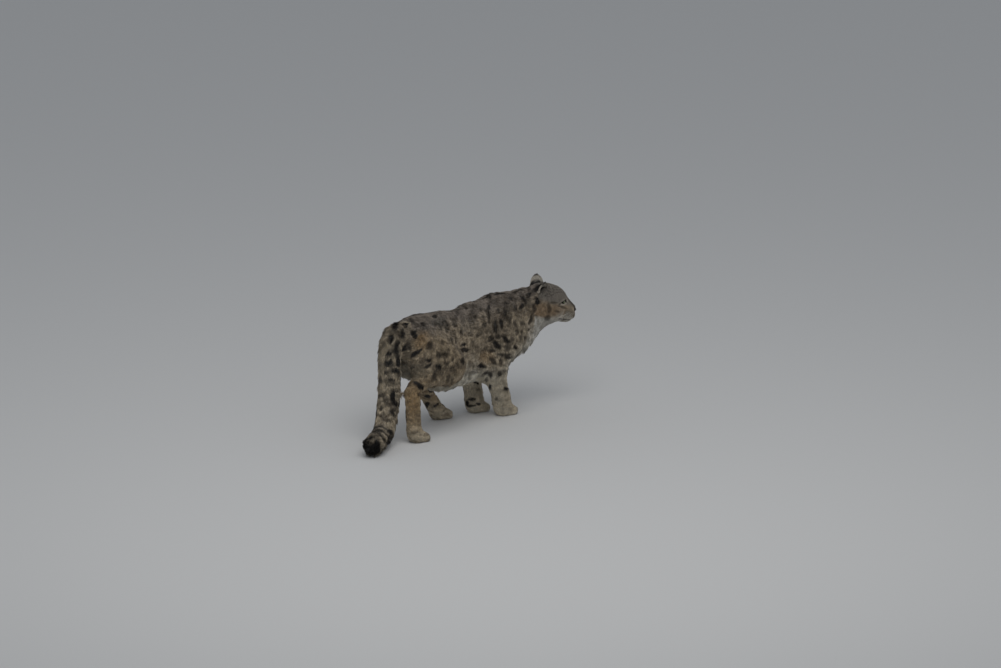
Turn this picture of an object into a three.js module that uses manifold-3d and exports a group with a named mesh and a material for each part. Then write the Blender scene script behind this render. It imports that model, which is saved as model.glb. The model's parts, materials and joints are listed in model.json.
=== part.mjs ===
// A snow leopard in its winter coat, life size, as a still museum model in mid walk.
// The right feet push off behind the body and the left feet reach forward, the head is
// carried low and turned a little to the right, and the thick tail hangs and trails on the floor.
//
// Millimetres. +X is forward, +Y is the animal's left and +Z is up; the feet stand on z = 0.
// The flesh is one smooth field, a blend of rounded masses, meshed node by node and parted
// by thin cuts, so that neighbours meet face to face.

import * as THREE from "three";
import { ConvexGeometry } from "three/addons/geometries/ConvexGeometry.js";
import { mergeVertices } from "three/addons/utils/BufferGeometryUtils.js";
import Module from "manifold-3d";

const wasm = await Module();
wasm.setup();

// Driving dimensions
const BACK_HEIGHT = 545;
const BELLY_HEIGHT = 166;
const TRUNK_WIDTH = 252;
const HIP_X = -232;
const SHOULDER_X = 250;
const HEAD_LENGTH = 240;
const TAIL_RADIUS = 55;
const PAW_LENGTH = 112;
const PAW_WIDTH = 98;
const FORELEG_RADIUS = 49;
const HOCK_RADIUS = 38;
const EAR_WIDTH = 66;
const EAR_HEIGHT = 45;
const EYE_RADIUS = 15;

// Clearance between parts that touch
const GAP = 0.3;

// How wide the round fillets are where one mass of flesh runs into the next
const SOFT = { trunk: 44, neck: 50, limbRoot: 46, limb: 36, ankle: 16, toe: 7 };

// Height of a foot's middle and of the cut that parts it from the leg
const SOLE_HEIGHT = 46;
const FOOT_CUT_HEIGHT = 62;

// Side of the blocks that stand for a half space
const BLOCK_SIZE = 1600;

// Mesh cell sizes: coarse on the trunk, fine on the face
const CELL = { trunk: 34, neck: 27, limb: 24, shank: 20, paw: 13, head: 10.2 };

const trunkDepth = BACK_HEIGHT - BELLY_HEIGHT;
const trunkMiddle = (BACK_HEIGHT + BELLY_HEIGHT) / 2;

const vec = (x, y, z) => new THREE.Vector3(x, y, z);

// Field pieces: each is a function of a point that is negative inside, in about a millimetre's scale

function ball(centre, radii, turn = [0, 0, 0]) {
  const back = new THREE.Matrix4()
    .makeRotationFromEuler(new THREE.Euler(...turn, "ZYX"))
    .setPosition(...centre)
    .invert();
  const p = vec(0, 0, 0);
  return (x, y, z) => {
    p.set(x, y, z).applyMatrix4(back);
    const near = Math.hypot(p.x / radii[0], p.y / radii[1], p.z / radii[2]);
    const slope = Math.hypot(p.x / radii[0] ** 2, p.y / radii[1] ** 2, p.z / radii[2] ** 2);
    return slope < 1e-9 ? -Math.min(...radii) : (near * (near - 1)) / slope;
  };
}

// A limb length from a to b that tapers from radius ra to rb; side squeezes its width
function limb(a, b, ra, rb, side = 1) {
  const span = b.clone().sub(a);
  const p = vec(0, 0, 0);
  const length2 = span.x ** 2 + (span.y / side) ** 2 + span.z ** 2;
  return (x, y, z) => {
    p.set(x - a.x, (y - a.y) / side, z - a.z);
    const along = (p.x * span.x + (p.y * span.y) / side + p.z * span.z) / length2;
    const t = Math.min(1, Math.max(0, along));
    const off = Math.hypot(p.x - t * span.x, p.y - (t * span.y) / side, p.z - t * span.z);
    return (off - (ra + (rb - ra) * t)) * Math.min(1, side);
  };
}

// Two values joined by a round fillet of about the size soft
function join(a, b, soft) {
  const h = Math.max(soft - Math.abs(a - b), 0) / soft;
  return Math.min(a, b) - (h * h * soft) / 4;
}

function blend(pieces) {
  return (x, y, z) => {
    let value = Infinity;
    for (const [piece, soft] of pieces) {
      const next = piece(x, y, z);
      value = value === Infinity ? next : join(value, next, soft);
    }
    return value;
  };
}

// Trunk: pelvis, belly, rib cage, withers and breast
const rearEnd = HIP_X - 116;
const halfWidth = TRUNK_WIDTH / 2;
const halfDepth = trunkDepth / 2 - 10;
const bellyLine = BELLY_HEIGHT + 94;
const trunk = blend([
  [ball([HIP_X + 10, 0, BACK_HEIGHT - 142], [126, halfWidth * 0.88, 134]), 0],
  [ball([HIP_X + 130, 0, trunkMiddle], [200, halfWidth * 0.9, halfDepth]), SOFT.trunk],
  [ball([SHOULDER_X - 130, 0, trunkMiddle + 4], [205, halfWidth * 0.98, halfDepth - 3]), SOFT.trunk],
  [limb(vec(HIP_X + 150, 0, bellyLine), vec(SHOULDER_X - 50, 0, bellyLine), 92, 90), SOFT.trunk],
  [ball([SHOULDER_X + 5, 0, BACK_HEIGHT - 118], [104, halfWidth * 0.74, 108]), SOFT.trunk],
  [ball([SHOULDER_X + 36, 0, BACK_HEIGHT - 206], [104, halfWidth * 0.78, 132]), SOFT.trunk],
  [limb(vec(HIP_X + 10, 0, BACK_HEIGHT - 98), vec(rearEnd + 36, 0, BACK_HEIGHT - 92), 84, 68), 40],
]);

// Head, in its own frame: x along the muzzle, the origin between the ears and the eyes
const head = new THREE.Group();
head.position.set(SHOULDER_X + 284, -62, BACK_HEIGHT - 93);
head.rotation.set(0, THREE.MathUtils.degToRad(17), THREE.MathUtils.degToRad(-30), "ZYX");
head.updateMatrixWorld(true);
const intoHead = head.matrixWorld.clone().invert();

const noseTip = HEAD_LENGTH * 0.51;
const eye = { x: noseTip - 87, y: 34, z: 27, outward: 30, upward: 6, slant: 16 };
const skull = blend([
  [ball([-36, 0, 10], [82, 72, 64]), 0],
  [ball([5, 0, 34], [53, 53, 50]), 20],
  [ball([-14, 44, -26], [60, 42, 50], [0, 0, 0.12]), 26],
  [ball([-14, -44, -26], [60, 42, 50], [0, 0, -0.12]), 26],
  [limb(vec(26, 0, -14), vec(noseTip - 42, 0, -24), 46, 35), 18],
  [limb(vec(36, 0, 30), vec(noseTip - 15, 0, 3), 31, 17), 24],
  [ball([noseTip - 33, 22, -26], [33, 27, 27]), 7],
  [ball([noseTip - 33, -22, -26], [33, 27, 27]), 7],
  [ball([noseTip - 12, 0, -4], [12, 19, 12]), 5],
  [ball([noseTip - 39, 0, -54], [33, 29, 18]), 8],
  [ball([10, 0, -50], [60, 52, 30]), 24],
  [ball([eye.x - 13, eye.y - 3, eye.z + 16], [25, 22, 17], [0, 0.1, 0.3]), 20],
  [ball([eye.x + 10, eye.y - 5, eye.z - 30], [34, 23, 24]), 18],
  [ball([eye.x - 13, -eye.y + 3, eye.z + 16], [25, 22, 17], [0, 0.1, -0.3]), 20],
  [ball([eye.x + 10, -eye.y + 5, eye.z - 30], [34, 23, 24]), 18],
]);
const headPoint = vec(0, 0, 0);
const skullInBody = (x, y, z) => {
  headPoint.set(x, y, z).applyMatrix4(intoHead);
  return skull(headPoint.x, headPoint.y, headPoint.z);
};

// Neck, from the withers and the breast to the back of the skull
const nape = head.localToWorld(vec(-50, 0, 0));
const neckRoot = vec(SHOULDER_X + 40, 0, BACK_HEIGHT - 122);
const neck = limb(neckRoot, nape, 112, 82, 0.86);
const breastFront = vec(SHOULDER_X + 122, -6, BACK_HEIGHT - 205);
const throat = limb(breastFront, head.localToWorld(vec(-26, 0, -38)), 94, 58, 0.9);

// Legs. Each is worked out from where its paw stands; side is 1 on the left and -1 on the right.
function hindLeg(side, pawX, pawY, knee, ankle, heel, splitWay) {
  const hip = vec(HIP_X - 8, side * 68, BACK_HEIGHT - 148);
  const sole = vec(pawX - 26, pawY, SOLE_HEIGHT);
  return {
    side,
    paw: vec(pawX, pawY, 0),
    joints: [hip, knee, heel, sole],
    flesh: [
      [ball([HIP_X - 6, side * 68, BACK_HEIGHT - 188], [102, 56, 118]), SOFT.limbRoot],
      [limb(hip, knee, 92, 64, 0.76), SOFT.limbRoot],
      [limb(knee, ankle, 62, HOCK_RADIUS, 0.84), SOFT.limb],
      [limb(heel, sole, HOCK_RADIUS + 3, HOCK_RADIUS, 0.94), SOFT.ankle],
    ],
    reach: [
      [hip.clone().add(vec(-10, side * 62, -30)), 114],
      [knee.clone().add(vec(4, side * 20, -16)), 92],
      [ankle.clone().add(vec(-12, side * 6, 0)), 78],
    ],
    split: { at: heel.clone().add(vec(24, 0, 24)), way: splitWay.normalize() },
  };
}

function foreLeg(side, pawX, pawY, elbow, wrist) {
  const shoulder = vec(SHOULDER_X + 2, side * 70, BACK_HEIGHT - 190);
  const sole = vec(pawX - 22, pawY, SOLE_HEIGHT);
  const way = wrist.clone().sub(elbow).normalize();
  return {
    side,
    paw: vec(pawX, pawY, 0),
    joints: [shoulder, elbow, wrist, sole],
    flesh: [
      [ball([SHOULDER_X - 8, side * 70, BACK_HEIGHT - 172], [82, 54, 128], [0, 0.16, 0]), SOFT.limbRoot],
      [limb(shoulder, elbow, 80, 62, 0.76), SOFT.limbRoot],
      [limb(elbow, wrist, 62, FORELEG_RADIUS - 4, 0.88), SOFT.limb],
      [limb(wrist, sole, FORELEG_RADIUS - 4, FORELEG_RADIUS - 4, 0.96), SOFT.ankle],
    ],
    reach: [
      [shoulder.clone().add(vec(-4, side * 62, 14)), 114],
      [elbow.clone().add(vec(4, side * 16, -8)), 86],
    ],
    split: { at: elbow.clone().addScaledVector(way, 44), way },
  };
}

// A paw: a broad pad, four toes in an arc and the rise to the leg, standing on z = 0
function pawFlesh({ x, y }) {
  const toes = [-1.45, -0.5, 0.5, 1.45].map((step) => {
    const forward = PAW_LENGTH * (0.29 - 0.062 * Math.abs(step) ** 1.6);
    const centre = [x + forward, y + step * PAW_WIDTH * 0.235, 19];
    return [ball(centre, [27, 14.5, 25], [0, 0.25, step * 0.06]), SOFT.toe];
  });
  return [[ball([x - 12, y, 26], [PAW_LENGTH * 0.4, PAW_WIDTH * 0.42, 36]), SOFT.ankle], ...toes];
}

const legs = {
  hind_right: hindLeg(
    -1,
    -330,
    -98,
    vec(-132, -104, 298),
    vec(-336, -94, 262),
    vec(-360, -94, 232),
    vec(-0.75, 0, -0.66),
  ),
  hind_left: hindLeg(
    1,
    -4,
    90,
    vec(-70, 98, 290),
    vec(-108, 90, 184),
    vec(-126, 90, 178),
    vec(-0.1, 0, -1),
  ),
  front_right: foreLeg(-1, 246, -68, vec(142, -84, 262), vec(210, -74, 92)),
  front_left: foreLeg(1, 190, 52, vec(146, 80, 262), vec(170, 58, 92)),
};

const body = [
  [trunk, 0],
  [neck, SOFT.neck],
  [throat, SOFT.trunk],
  [skullInBody, 30],
];

// Tail: a thick rope of fur that hangs close behind the thighs and trails on the floor
const tailLine = new THREE.CatmullRomCurve3(
  [
    vec(rearEnd + 66, 0, BACK_HEIGHT - 84),
    vec(rearEnd - 14, 0, BACK_HEIGHT - 66),
    vec(rearEnd - 54, -1, BACK_HEIGHT - 104),
    vec(rearEnd - 65, -2, BACK_HEIGHT - 180),
    vec(rearEnd - 68, -5, BACK_HEIGHT - 290),
    vec(rearEnd - 86, -13, BACK_HEIGHT - 400),
    vec(rearEnd - 139, -42, TAIL_RADIUS + 12),
    vec(rearEnd - 227, -92, TAIL_RADIUS - 3),
    vec(rearEnd - 330, -148, TAIL_RADIUS - 5),
  ],
  false,
  "centripetal",
);
const tipStart = 0.93;
const tailRadius = (t) => {
  const past = Math.max(0, t - tipStart) / (1 - tipStart);
  return TAIL_RADIUS * (1.06 - 0.12 * t) * Math.sqrt(Math.max(0.02, 1 - past * past));
};

// Meshing: one vertex in each grid cell that the surface crosses, moved onto the surface

function polygonise(field, box, cell) {
  const count = box.getSize(vec(0, 0, 0)).divideScalar(cell).ceil().addScalar(1);
  const [nx, ny, nz] = count.toArray();
  const at = (i, j, k) => (k * ny + j) * nx + i;
  const values = new Float32Array(nx * ny * nz);
  for (let k = 0; k < nz; k += 1) {
    for (let j = 0; j < ny; j += 1) {
      for (let i = 0; i < nx; i += 1) {
        const rim = i === 0 || j === 0 || k === 0 || i === nx - 1 || j === ny - 1 || k === nz - 1;
        const value = field(box.min.x + i * cell, box.min.y + j * cell, box.min.z + k * cell);
        values[at(i, j, k)] = rim ? Math.max(value, cell / 2) : value;
      }
    }
  }
  const corners = [0, 1, 2, 3, 4, 5, 6, 7].map((c) => [c & 1, (c >> 1) & 1, (c >> 2) & 1]);
  const edges = [];
  corners.forEach((a, m) => {
    corners.forEach((b, n) => {
      if (n > m && Math.abs(a[0] - b[0]) + Math.abs(a[1] - b[1]) + Math.abs(a[2] - b[2]) === 1) {
        edges.push([a, b]);
      }
    });
  });
  const vertexOf = new Map();
  const positions = [];
  for (let k = 0; k < nz - 1; k += 1) {
    for (let j = 0; j < ny - 1; j += 1) {
      for (let i = 0; i < nx - 1; i += 1) {
        const sum = vec(0, 0, 0);
        let crossings = 0;
        for (const [a, b] of edges) {
          const va = values[at(i + a[0], j + a[1], k + a[2])];
          const vb = values[at(i + b[0], j + b[1], k + b[2])];
          if (va < 0 === vb < 0) continue;
          const t = va / (va - vb);
          sum.x += i + a[0] + t * (b[0] - a[0]);
          sum.y += j + a[1] + t * (b[1] - a[1]);
          sum.z += k + a[2] + t * (b[2] - a[2]);
          crossings += 1;
        }
        if (!crossings) continue;
        const p = sum.multiplyScalar(cell / crossings).add(box.min);
        const inner = i > 0 && j > 0 && k > 0 && i < nx - 2 && j < ny - 2 && k < nz - 2;
        vertexOf.set(at(i, j, k), positions.length / 3);
        positions.push(...(inner ? ontoSurface(field, p, cell) : p).toArray());
      }
    }
  }
  const triangles = [];
  const quad = (a, b, c, d, flip) => {
    const [p, q, r, s] = [a, b, c, d].map((cellAt) => vertexOf.get(cellAt));
    const gap = (m, n) =>
      Math.hypot(...[0, 1, 2].map((axis) => positions[3 * m + axis] - positions[3 * n + axis]));
    const faces = gap(p, r) < gap(q, s) ? [[p, q, r], [p, r, s]] : [[q, r, s], [q, s, p]];
    faces.forEach((face) => triangles.push(...(flip ? face.reverse() : face)));
  };
  for (let k = 0; k < nz - 1; k += 1) {
    for (let j = 0; j < ny - 1; j += 1) {
      for (let i = 0; i < nx - 1; i += 1) {
        const inside = values[at(i, j, k)] < 0;
        if (inside !== values[at(i + 1, j, k)] < 0) {
          quad(at(i, j - 1, k - 1), at(i, j, k - 1), at(i, j, k), at(i, j - 1, k), !inside);
        }
        if (inside !== values[at(i, j + 1, k)] < 0) {
          quad(at(i - 1, j, k - 1), at(i - 1, j, k), at(i, j, k), at(i, j, k - 1), !inside);
        }
        if (inside !== values[at(i, j, k + 1)] < 0) {
          quad(at(i - 1, j - 1, k), at(i, j - 1, k), at(i, j, k), at(i - 1, j, k), !inside);
        }
      }
    }
  }
  const geometry = new THREE.BufferGeometry();
  geometry.setAttribute("position", new THREE.Float32BufferAttribute(positions, 3));
  geometry.setIndex(triangles);
  return geometry;
}

// Steps a point down the field's slope, within its own cell, so that it lies on the surface
function ontoSurface(field, start, cell) {
  const [step, leastSteep, farthest] = [0.5, 0.09, 0.4 * cell];
  const p = start.clone();
  for (let round = 0; round < 3; round += 1) {
    const value = field(p.x, p.y, p.z);
    const slope = vec(
      field(p.x + step, p.y, p.z) - field(p.x - step, p.y, p.z),
      field(p.x, p.y + step, p.z) - field(p.x, p.y - step, p.z),
      field(p.x, p.y, p.z + step) - field(p.x, p.y, p.z - step),
    ).divideScalar(2 * step);
    p.addScaledVector(slope, -value / Math.max(slope.lengthSq(), leastSteep));
  }
  const moved = p.sub(start);
  return start.clone().add(moved.clampLength(0, farthest));
}

// Solids

function meshOf(points, faces) {
  const geometry = new THREE.BufferGeometry().setFromPoints(points);
  geometry.setIndex(faces);
  return geometry;
}

function solidOf(geometry) {
  const bare = new THREE.BufferGeometry();
  bare.setAttribute("position", geometry.getAttribute("position"));
  if (geometry.index) bare.setIndex(geometry.index);
  const merged = mergeVertices(bare, 1e-3);
  return new wasm.Manifold(
    new wasm.Mesh({
      numProp: 3,
      vertProperties: new Float32Array(merged.getAttribute("position").array),
      triVerts: new Uint32Array(merged.index.array),
    }),
  );
}

// The largest closed surface of a solid, which drops loose scraps and fills sealed hollows
function largest(solid) {
  const volume = (piece) => Math.abs(piece.volume());
  return solid.decompose().reduce((best, piece) => (volume(piece) > volume(best) ? piece : best));
}

function geometryOf(solid) {
  const mesh = solid.getMesh();
  const geometry = new THREE.BufferGeometry();
  geometry.setAttribute("position", new THREE.Float32BufferAttribute(mesh.vertProperties, 3));
  geometry.setIndex(new THREE.BufferAttribute(mesh.triVerts, 1));
  return geometry;
}

// The convex solid round a few spheres, each given as a centre and a radius
function hullRound(spheres, grow = 0) {
  const sphere = new THREE.IcosahedronGeometry(1, 1).getAttribute("position");
  const points = spheres.flatMap(([centre, radius]) =>
    Array.from({ length: sphere.count }, (_, n) =>
      vec(0, 0, 0)
        .fromBufferAttribute(sphere, n)
        .multiplyScalar(radius + grow)
        .add(centre),
    ),
  );
  return solidOf(new ConvexGeometry(points));
}

// A large block whose one face passes through point and faces against outward
function beyond(point, outward) {
  const geometry = new THREE.BoxGeometry(BLOCK_SIZE, BLOCK_SIZE, BLOCK_SIZE);
  geometry.translate(0, 0, BLOCK_SIZE / 2);
  geometry.applyQuaternion(
    new THREE.Quaternion().setFromUnitVectors(vec(0, 0, 1), outward.clone().normalize()),
  );
  geometry.translate(point.x, point.y, point.z);
  return solidOf(geometry);
}

const boxOf = (solid, margin) => {
  const { min, max } = solid.boundingBox();
  return new THREE.Box3(vec(...min), vec(...max)).expandByScalar(margin);
};

// A field's flesh inside a region, which may be any solid
function fleshIn(region, cell, field) {
  return solidOf(polygonise(field, boxOf(region, cell * 2), cell)).intersect(region);
}

const belowFloor = beyond(vec(0, 0, 0), vec(0, 0, -1));

// A closed tube along a line, with a radius that changes along it
function rope(line, radiusAt, rings, sides) {
  const points = [];
  const faces = [];
  for (let r = 0; r <= rings; r += 1) {
    const t = r / rings;
    const along = line.getTangentAt(t);
    const out = along.clone().cross(vec(0, 1, 0)).normalize();
    const across = along.clone().cross(out);
    for (let n = 0; n < sides; n += 1) {
      const turn = (2 * Math.PI * n) / sides;
      const p = line.getPointAt(t);
      p.addScaledVector(out, radiusAt(t) * Math.cos(turn));
      p.addScaledVector(across, radiusAt(t) * Math.sin(turn));
      points.push(p);
      const next = (n + 1) % sides;
      if (r < rings) {
        const [a, b] = [r * sides + n, r * sides + next];
        faces.push(a, b, b + sides, a, b + sides, a + sides);
      }
    }
  }
  [0, 1].forEach((end) => {
    const centre = points.length;
    points.push(line.getPointAt(end));
    for (let n = 0; n < sides; n += 1) {
      const rim = [end * rings * sides + n, end * rings * sides + ((n + 1) % sides)];
      faces.push(centre, rim[1 - end], rim[end]);
    }
  });
  return solidOf(meshOf(points, faces));
}

// Materials, in the winter coat's colours
const coat = new THREE.MeshStandardMaterial({ color: 0xa49a88, roughness: 0.95, metalness: 0 });
const paleCoat = new THREE.MeshStandardMaterial({ color: 0xc9c3b6, roughness: 0.95, metalness: 0 });
const earCoat = new THREE.MeshStandardMaterial({ color: 0x6d665c, roughness: 0.95, metalness: 0 });
const eyeball = new THREE.MeshStandardMaterial({ color: 0x9aa081, roughness: 0.15, metalness: 0 });

const leopard = new THREE.Group();

// Adds a solid as a named mesh that turns about its own pivot
function addNode(parent, name, solid, material, pivot = vec(0, 0, 0)) {
  const geometry = geometryOf(largest(solid));
  geometry.translate(-pivot.x, -pivot.y, -pivot.z);
  const mesh = new THREE.Mesh(geometry, material);
  mesh.name = name;
  mesh.position.copy(pivot);
  parent.add(mesh);
}

// Tail, in three lengths, flat where it lies on the floor
const ringCount = 32;
const ropeSides = 16;
const tailSolid = rope(tailLine, tailRadius, ringCount, ropeSides).subtract(belowFloor);
const tailHollow = rope(tailLine, (t) => tailRadius(t) + GAP, ringCount, ropeSides);
const cutAcross = (t) => ({ at: tailLine.getPointAt(t), way: tailLine.getTangentAt(t) });
const tailCuts = [0.36, 0.72].map(cutAcross);
const past = ({ at, way }, offset) => beyond(at.clone().addScaledVector(way, offset), way);

addNode(
  leopard,
  "tail_base",
  tailSolid.subtract(past(tailCuts[0], -GAP / 2)),
  coat,
  tailLine.getPointAt(0),
);
addNode(
  leopard,
  "tail_middle",
  tailSolid.intersect(past(tailCuts[0], GAP / 2)).subtract(past(tailCuts[1], -GAP / 2)),
  coat,
  tailCuts[0].at,
);
addNode(leopard, "tail_tip", tailSolid.intersect(past(tailCuts[1], GAP / 2)), coat, tailCuts[1].at);

// Legs, each parted at the lower joints and lifted out of the trunk by its own hull
const trunkCuts = [tailHollow];

function addLeg(names, leg) {
  const [top, middle, lower, sole] = leg.joints;
  const ownFlesh = blend([...body, ...leg.flesh, ...pawFlesh(leg.paw)]);
  const footCut = { at: sole.clone().setZ(FOOT_CUT_HEIGHT), way: vec(0.1, 0, -1).normalize() };
  const shankReach = [
    [middle.clone().add(lower).multiplyScalar(0.5), 84],
    [lower, 80],
    [sole, 66],
  ];
  const ownHalf = (offset) => beyond(vec(0, leg.side * offset, 0), vec(0, leg.side, 0));
  const regionOf = (spheres) => hullRound(spheres).intersect(ownHalf(GAP));
  for (const spheres of [leg.reach, shankReach]) {
    trunkCuts.push(hullRound(spheres, GAP).intersect(ownHalf(0)));
  }

  const upper = fleshIn(regionOf(leg.reach), CELL.limb, ownFlesh)
    .subtract(past(leg.split, -GAP / 2))
    .subtract(tailHollow);
  addNode(leopard, names[0], upper, coat, top);

  const shank = fleshIn(regionOf(shankReach), CELL.shank, ownFlesh)
    .intersect(past(leg.split, GAP / 2))
    .subtract(past(footCut, -GAP / 2))
    .subtract(tailHollow);
  addNode(leopard, names[1], shank, coat, lower);

  const foot = fleshIn(regionOf([[leg.paw.clone().add(vec(0, 0, 30)), 90]]), CELL.paw, ownFlesh)
    .intersect(past(footCut, GAP / 2))
    .subtract(belowFloor);
  addNode(leopard, names[2], foot, coat, leg.paw);
}

addLeg(["thigh_right", "hock_right", "hind_paw_right"], legs.hind_right);
addLeg(["thigh_left", "hock_left", "hind_paw_left"], legs.hind_left);
addLeg(["shoulder_right", "forearm_right", "front_paw_right"], legs.front_right);
addLeg(["shoulder_left", "forearm_left", "front_paw_left"], legs.front_left);

// Torso and neck, cut across in front of the shoulders and behind the ears
const limbRoots = Object.values(legs).flatMap((leg) => leg.flesh.slice(0, 2));
const trunkFlesh = blend([...body, ...limbRoots]);
const neckCut = {
  at: vec(SHOULDER_X + 108, 0, BACK_HEIGHT - 120),
  way: nape.clone().sub(neckRoot).normalize(),
};
const headCuts = [
  { at: vec(-98, 0, 60), way: vec(0.963, 0, 0.27).normalize() },
  { at: vec(-40, 0, -96), way: vec(0.5, 0, 0.866).normalize() },
];
const headRegion = (offset) =>
  headCuts.map((cut) => past(cut, offset)).reduce((region, cut) => region.intersect(cut));
const headInBody = solidOf(geometryOf(headRegion(-GAP / 2)).applyMatrix4(head.matrixWorld));

const without = (solid, cuts) => cuts.reduce((rest, cut) => rest.subtract(cut), solid);
const block = (width, depth, height, x, y, z) =>
  solidOf(new THREE.BoxGeometry(width, depth, height).translate(x, y, z));

const torsoBlock = block(920, 400, 480, 40, 0, BACK_HEIGHT - 200);
const torso = fleshIn(torsoBlock, CELL.trunk, trunkFlesh).subtract(past(neckCut, -GAP / 2));
addNode(leopard, "torso", without(torso, trunkCuts), coat);

const neckBlock = block(420, 420, 460, SHOULDER_X + 180, -20, BACK_HEIGHT - 170);
const neckSolid = fleshIn(neckBlock, CELL.neck, trunkFlesh)
  .intersect(past(neckCut, GAP / 2))
  .subtract(headInBody);
addNode(leopard, "neck", without(neckSolid, trunkCuts), paleCoat, neckCut.at);

// Head: the flesh meshed in the head's own frame
const fleshInHead = (x, y, z) => {
  headPoint.set(x, y, z).applyMatrix4(head.matrixWorld);
  return trunkFlesh(headPoint.x, headPoint.y, headPoint.z);
};
const headBlock = block(290, 290, 300, 6, 0, -20);
const headShell = (offset) =>
  fleshIn(headBlock, CELL.head, (x, y, z) => fleshInHead(x, y, z) - offset);
const faceSolid = headShell(0).intersect(headRegion(GAP / 2));

// Eyes: each ball lies deep in its socket behind an almond opening between thick lids
const lidThickness = 3;
const eyeSphere = (radius, centre) =>
  solidOf(new THREE.IcosahedronGeometry(radius, 2).translate(...centre.toArray()));

function almond(side) {
  const [halfLength, halfHeight, points] = [14, 9, 6];
  const outline = new THREE.Shape();
  for (let n = 0; n < 2 * points; n += 1) {
    const turn = n / points;
    const across = n < points ? 1 - 2 * turn : 2 * turn - 3;
    const rise = halfHeight * (1 - across * across) * (n < points ? 1 : -1);
    if (n === 0) outline.moveTo(halfLength, 0);
    else outline.lineTo(halfLength * across, rise);
  }
  const depth = EYE_RADIUS * 2.2;
  const opening = new THREE.ExtrudeGeometry(outline, { depth, bevelEnabled: false });
  opening.rotateZ(THREE.MathUtils.degToRad(eye.slant) * -side);
  const sideways = Math.tan(THREE.MathUtils.degToRad(eye.outward));
  const upward = Math.tan(THREE.MathUtils.degToRad(eye.upward));
  const gaze = vec(1, side * sideways, upward).normalize();
  const across = vec(0, 0, 1).cross(gaze).normalize();
  const up = gaze.clone().cross(across);
  opening.applyMatrix4(new THREE.Matrix4().makeBasis(across, up, gaze));
  opening.translate(eye.x, side * eye.y, eye.z);
  return solidOf(opening);
}

// Mouth: a groove of even depth round the muzzle, a slit under the nose, and two nostrils
const lipDepth = 4.5;
const lipGap = 2.4;
const headCore = headShell(-lipDepth);
const lipLine = [
  [40, -50],
  [56, -52],
  [76, -52],
  [94, -48],
  [noseTip + 12, -42],
];
const lipShape = new THREE.Shape(
  [
    ...lipLine.map(([x, z]) => new THREE.Vector2(x, z)),
    ...lipLine.toReversed().map(([x, z]) => new THREE.Vector2(x, z - lipGap)),
  ],
);
const lipPlate = new THREE.ExtrudeGeometry(lipShape, { depth: 160, bevelEnabled: false });
lipPlate.translate(0, 0, -80).rotateX(Math.PI / 2);
const philtrum = block(60, 1.8, 26, noseTip, 0, -30);
const lipCut = solidOf(lipPlate).add(philtrum).subtract(headCore);
const nostril = (side) => {
  const pit = new THREE.IcosahedronGeometry(1, 1).scale(6, 3.4, 3);
  return solidOf(pit.rotateZ(side * 0.5).translate(noseTip - 1, side * 8.5, -6));
};

let headSolid = faceSolid;
for (const side of [-1, 1]) {
  const centre = vec(eye.x, side * eye.y, eye.z);
  headSolid = headSolid
    .add(eyeSphere(EYE_RADIUS + lidThickness, centre))
    .subtract(eyeSphere(EYE_RADIUS + GAP, centre))
    .subtract(almond(side))
    .subtract(nostril(side));
}
addNode(head, "head", headSolid.subtract(lipCut), coat);

// Ears: short rounded cups, each a wall bent round a hollow that faces forward and out
function earCup(side) {
  const up = vec(-0.25, side * 0.42, 0.87).normalize();
  const facing = vec(0.5, side * 0.86, 0.15);
  facing.addScaledVector(up, -facing.dot(up)).normalize();
  const frame = new THREE.Matrix4()
    .makeBasis(facing, up.clone().cross(facing), up)
    .setPosition(-66, side * 52, 52);
  const [rows, columns, wall, depth, root] = [7, 10, 7, 26, -26];
  const points = [];
  for (let r = 0; r <= rows; r += 1) {
    const rise = r / rows;
    const half = (EAR_WIDTH / 2) * Math.sqrt(Math.max(0.1, 1 - rise ** 4));
    const deep = depth * (1 - 0.7 * rise * rise);
    for (let c = 0; c <= columns; c += 1) {
      const turn = ((2 * c) / columns - 1) * (Math.PI / 2);
      const height = root + (EAR_HEIGHT + 8 - root) * rise;
      for (const inset of [0, wall]) {
        const back = -(deep - inset) * Math.cos(turn) + inset * 0.3;
        points.push(vec(back, (half - inset * 0.5) * Math.sin(turn), height).applyMatrix4(frame));
      }
    }
  }
  const at = (r, c, inner) => (r * (columns + 1) + c) * 2 + inner;
  const faces = [];
  const quad = (a, b, c, d) => faces.push(a, b, c, a, c, d);
  for (let r = 0; r < rows; r += 1) {
    for (let c = 0; c < columns; c += 1) {
      quad(at(r, c, 0), at(r + 1, c, 0), at(r + 1, c + 1, 0), at(r, c + 1, 0));
      quad(at(r, c, 1), at(r, c + 1, 1), at(r + 1, c + 1, 1), at(r + 1, c, 1));
    }
    quad(at(r, 0, 0), at(r, 0, 1), at(r + 1, 0, 1), at(r + 1, 0, 0));
    quad(at(r, columns, 1), at(r, columns, 0), at(r + 1, columns, 0), at(r + 1, columns, 1));
  }
  for (let c = 0; c < columns; c += 1) {
    quad(at(0, c, 0), at(0, c + 1, 0), at(0, c + 1, 1), at(0, c, 1));
    quad(at(rows, c, 0), at(rows, c, 1), at(rows, c + 1, 1), at(rows, c + 1, 0));
  }
  return solidOf(meshOf(points, faces));
}

const headHollow = headShell(GAP + 0.1);
for (const [side, name] of [[1, "left"], [-1, "right"]]) {
  const centre = vec(eye.x, side * eye.y, eye.z);
  addNode(head, `ear_${name}`, earCup(side).subtract(headHollow), earCoat, vec(-66, side * 58, 60));
  addNode(head, `eye_${name}`, eyeSphere(EYE_RADIUS, centre), eyeball, centre);
}
leopard.add(head);

// The origin is at the middle of the outline seen from above, on the floor
const bounds = new THREE.Box3().setFromObject(leopard, true);
const middle = bounds.getCenter(vec(0, 0, 0));
leopard.position.set(-middle.x, -middle.y, -bounds.min.z);

export default leopard;
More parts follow.
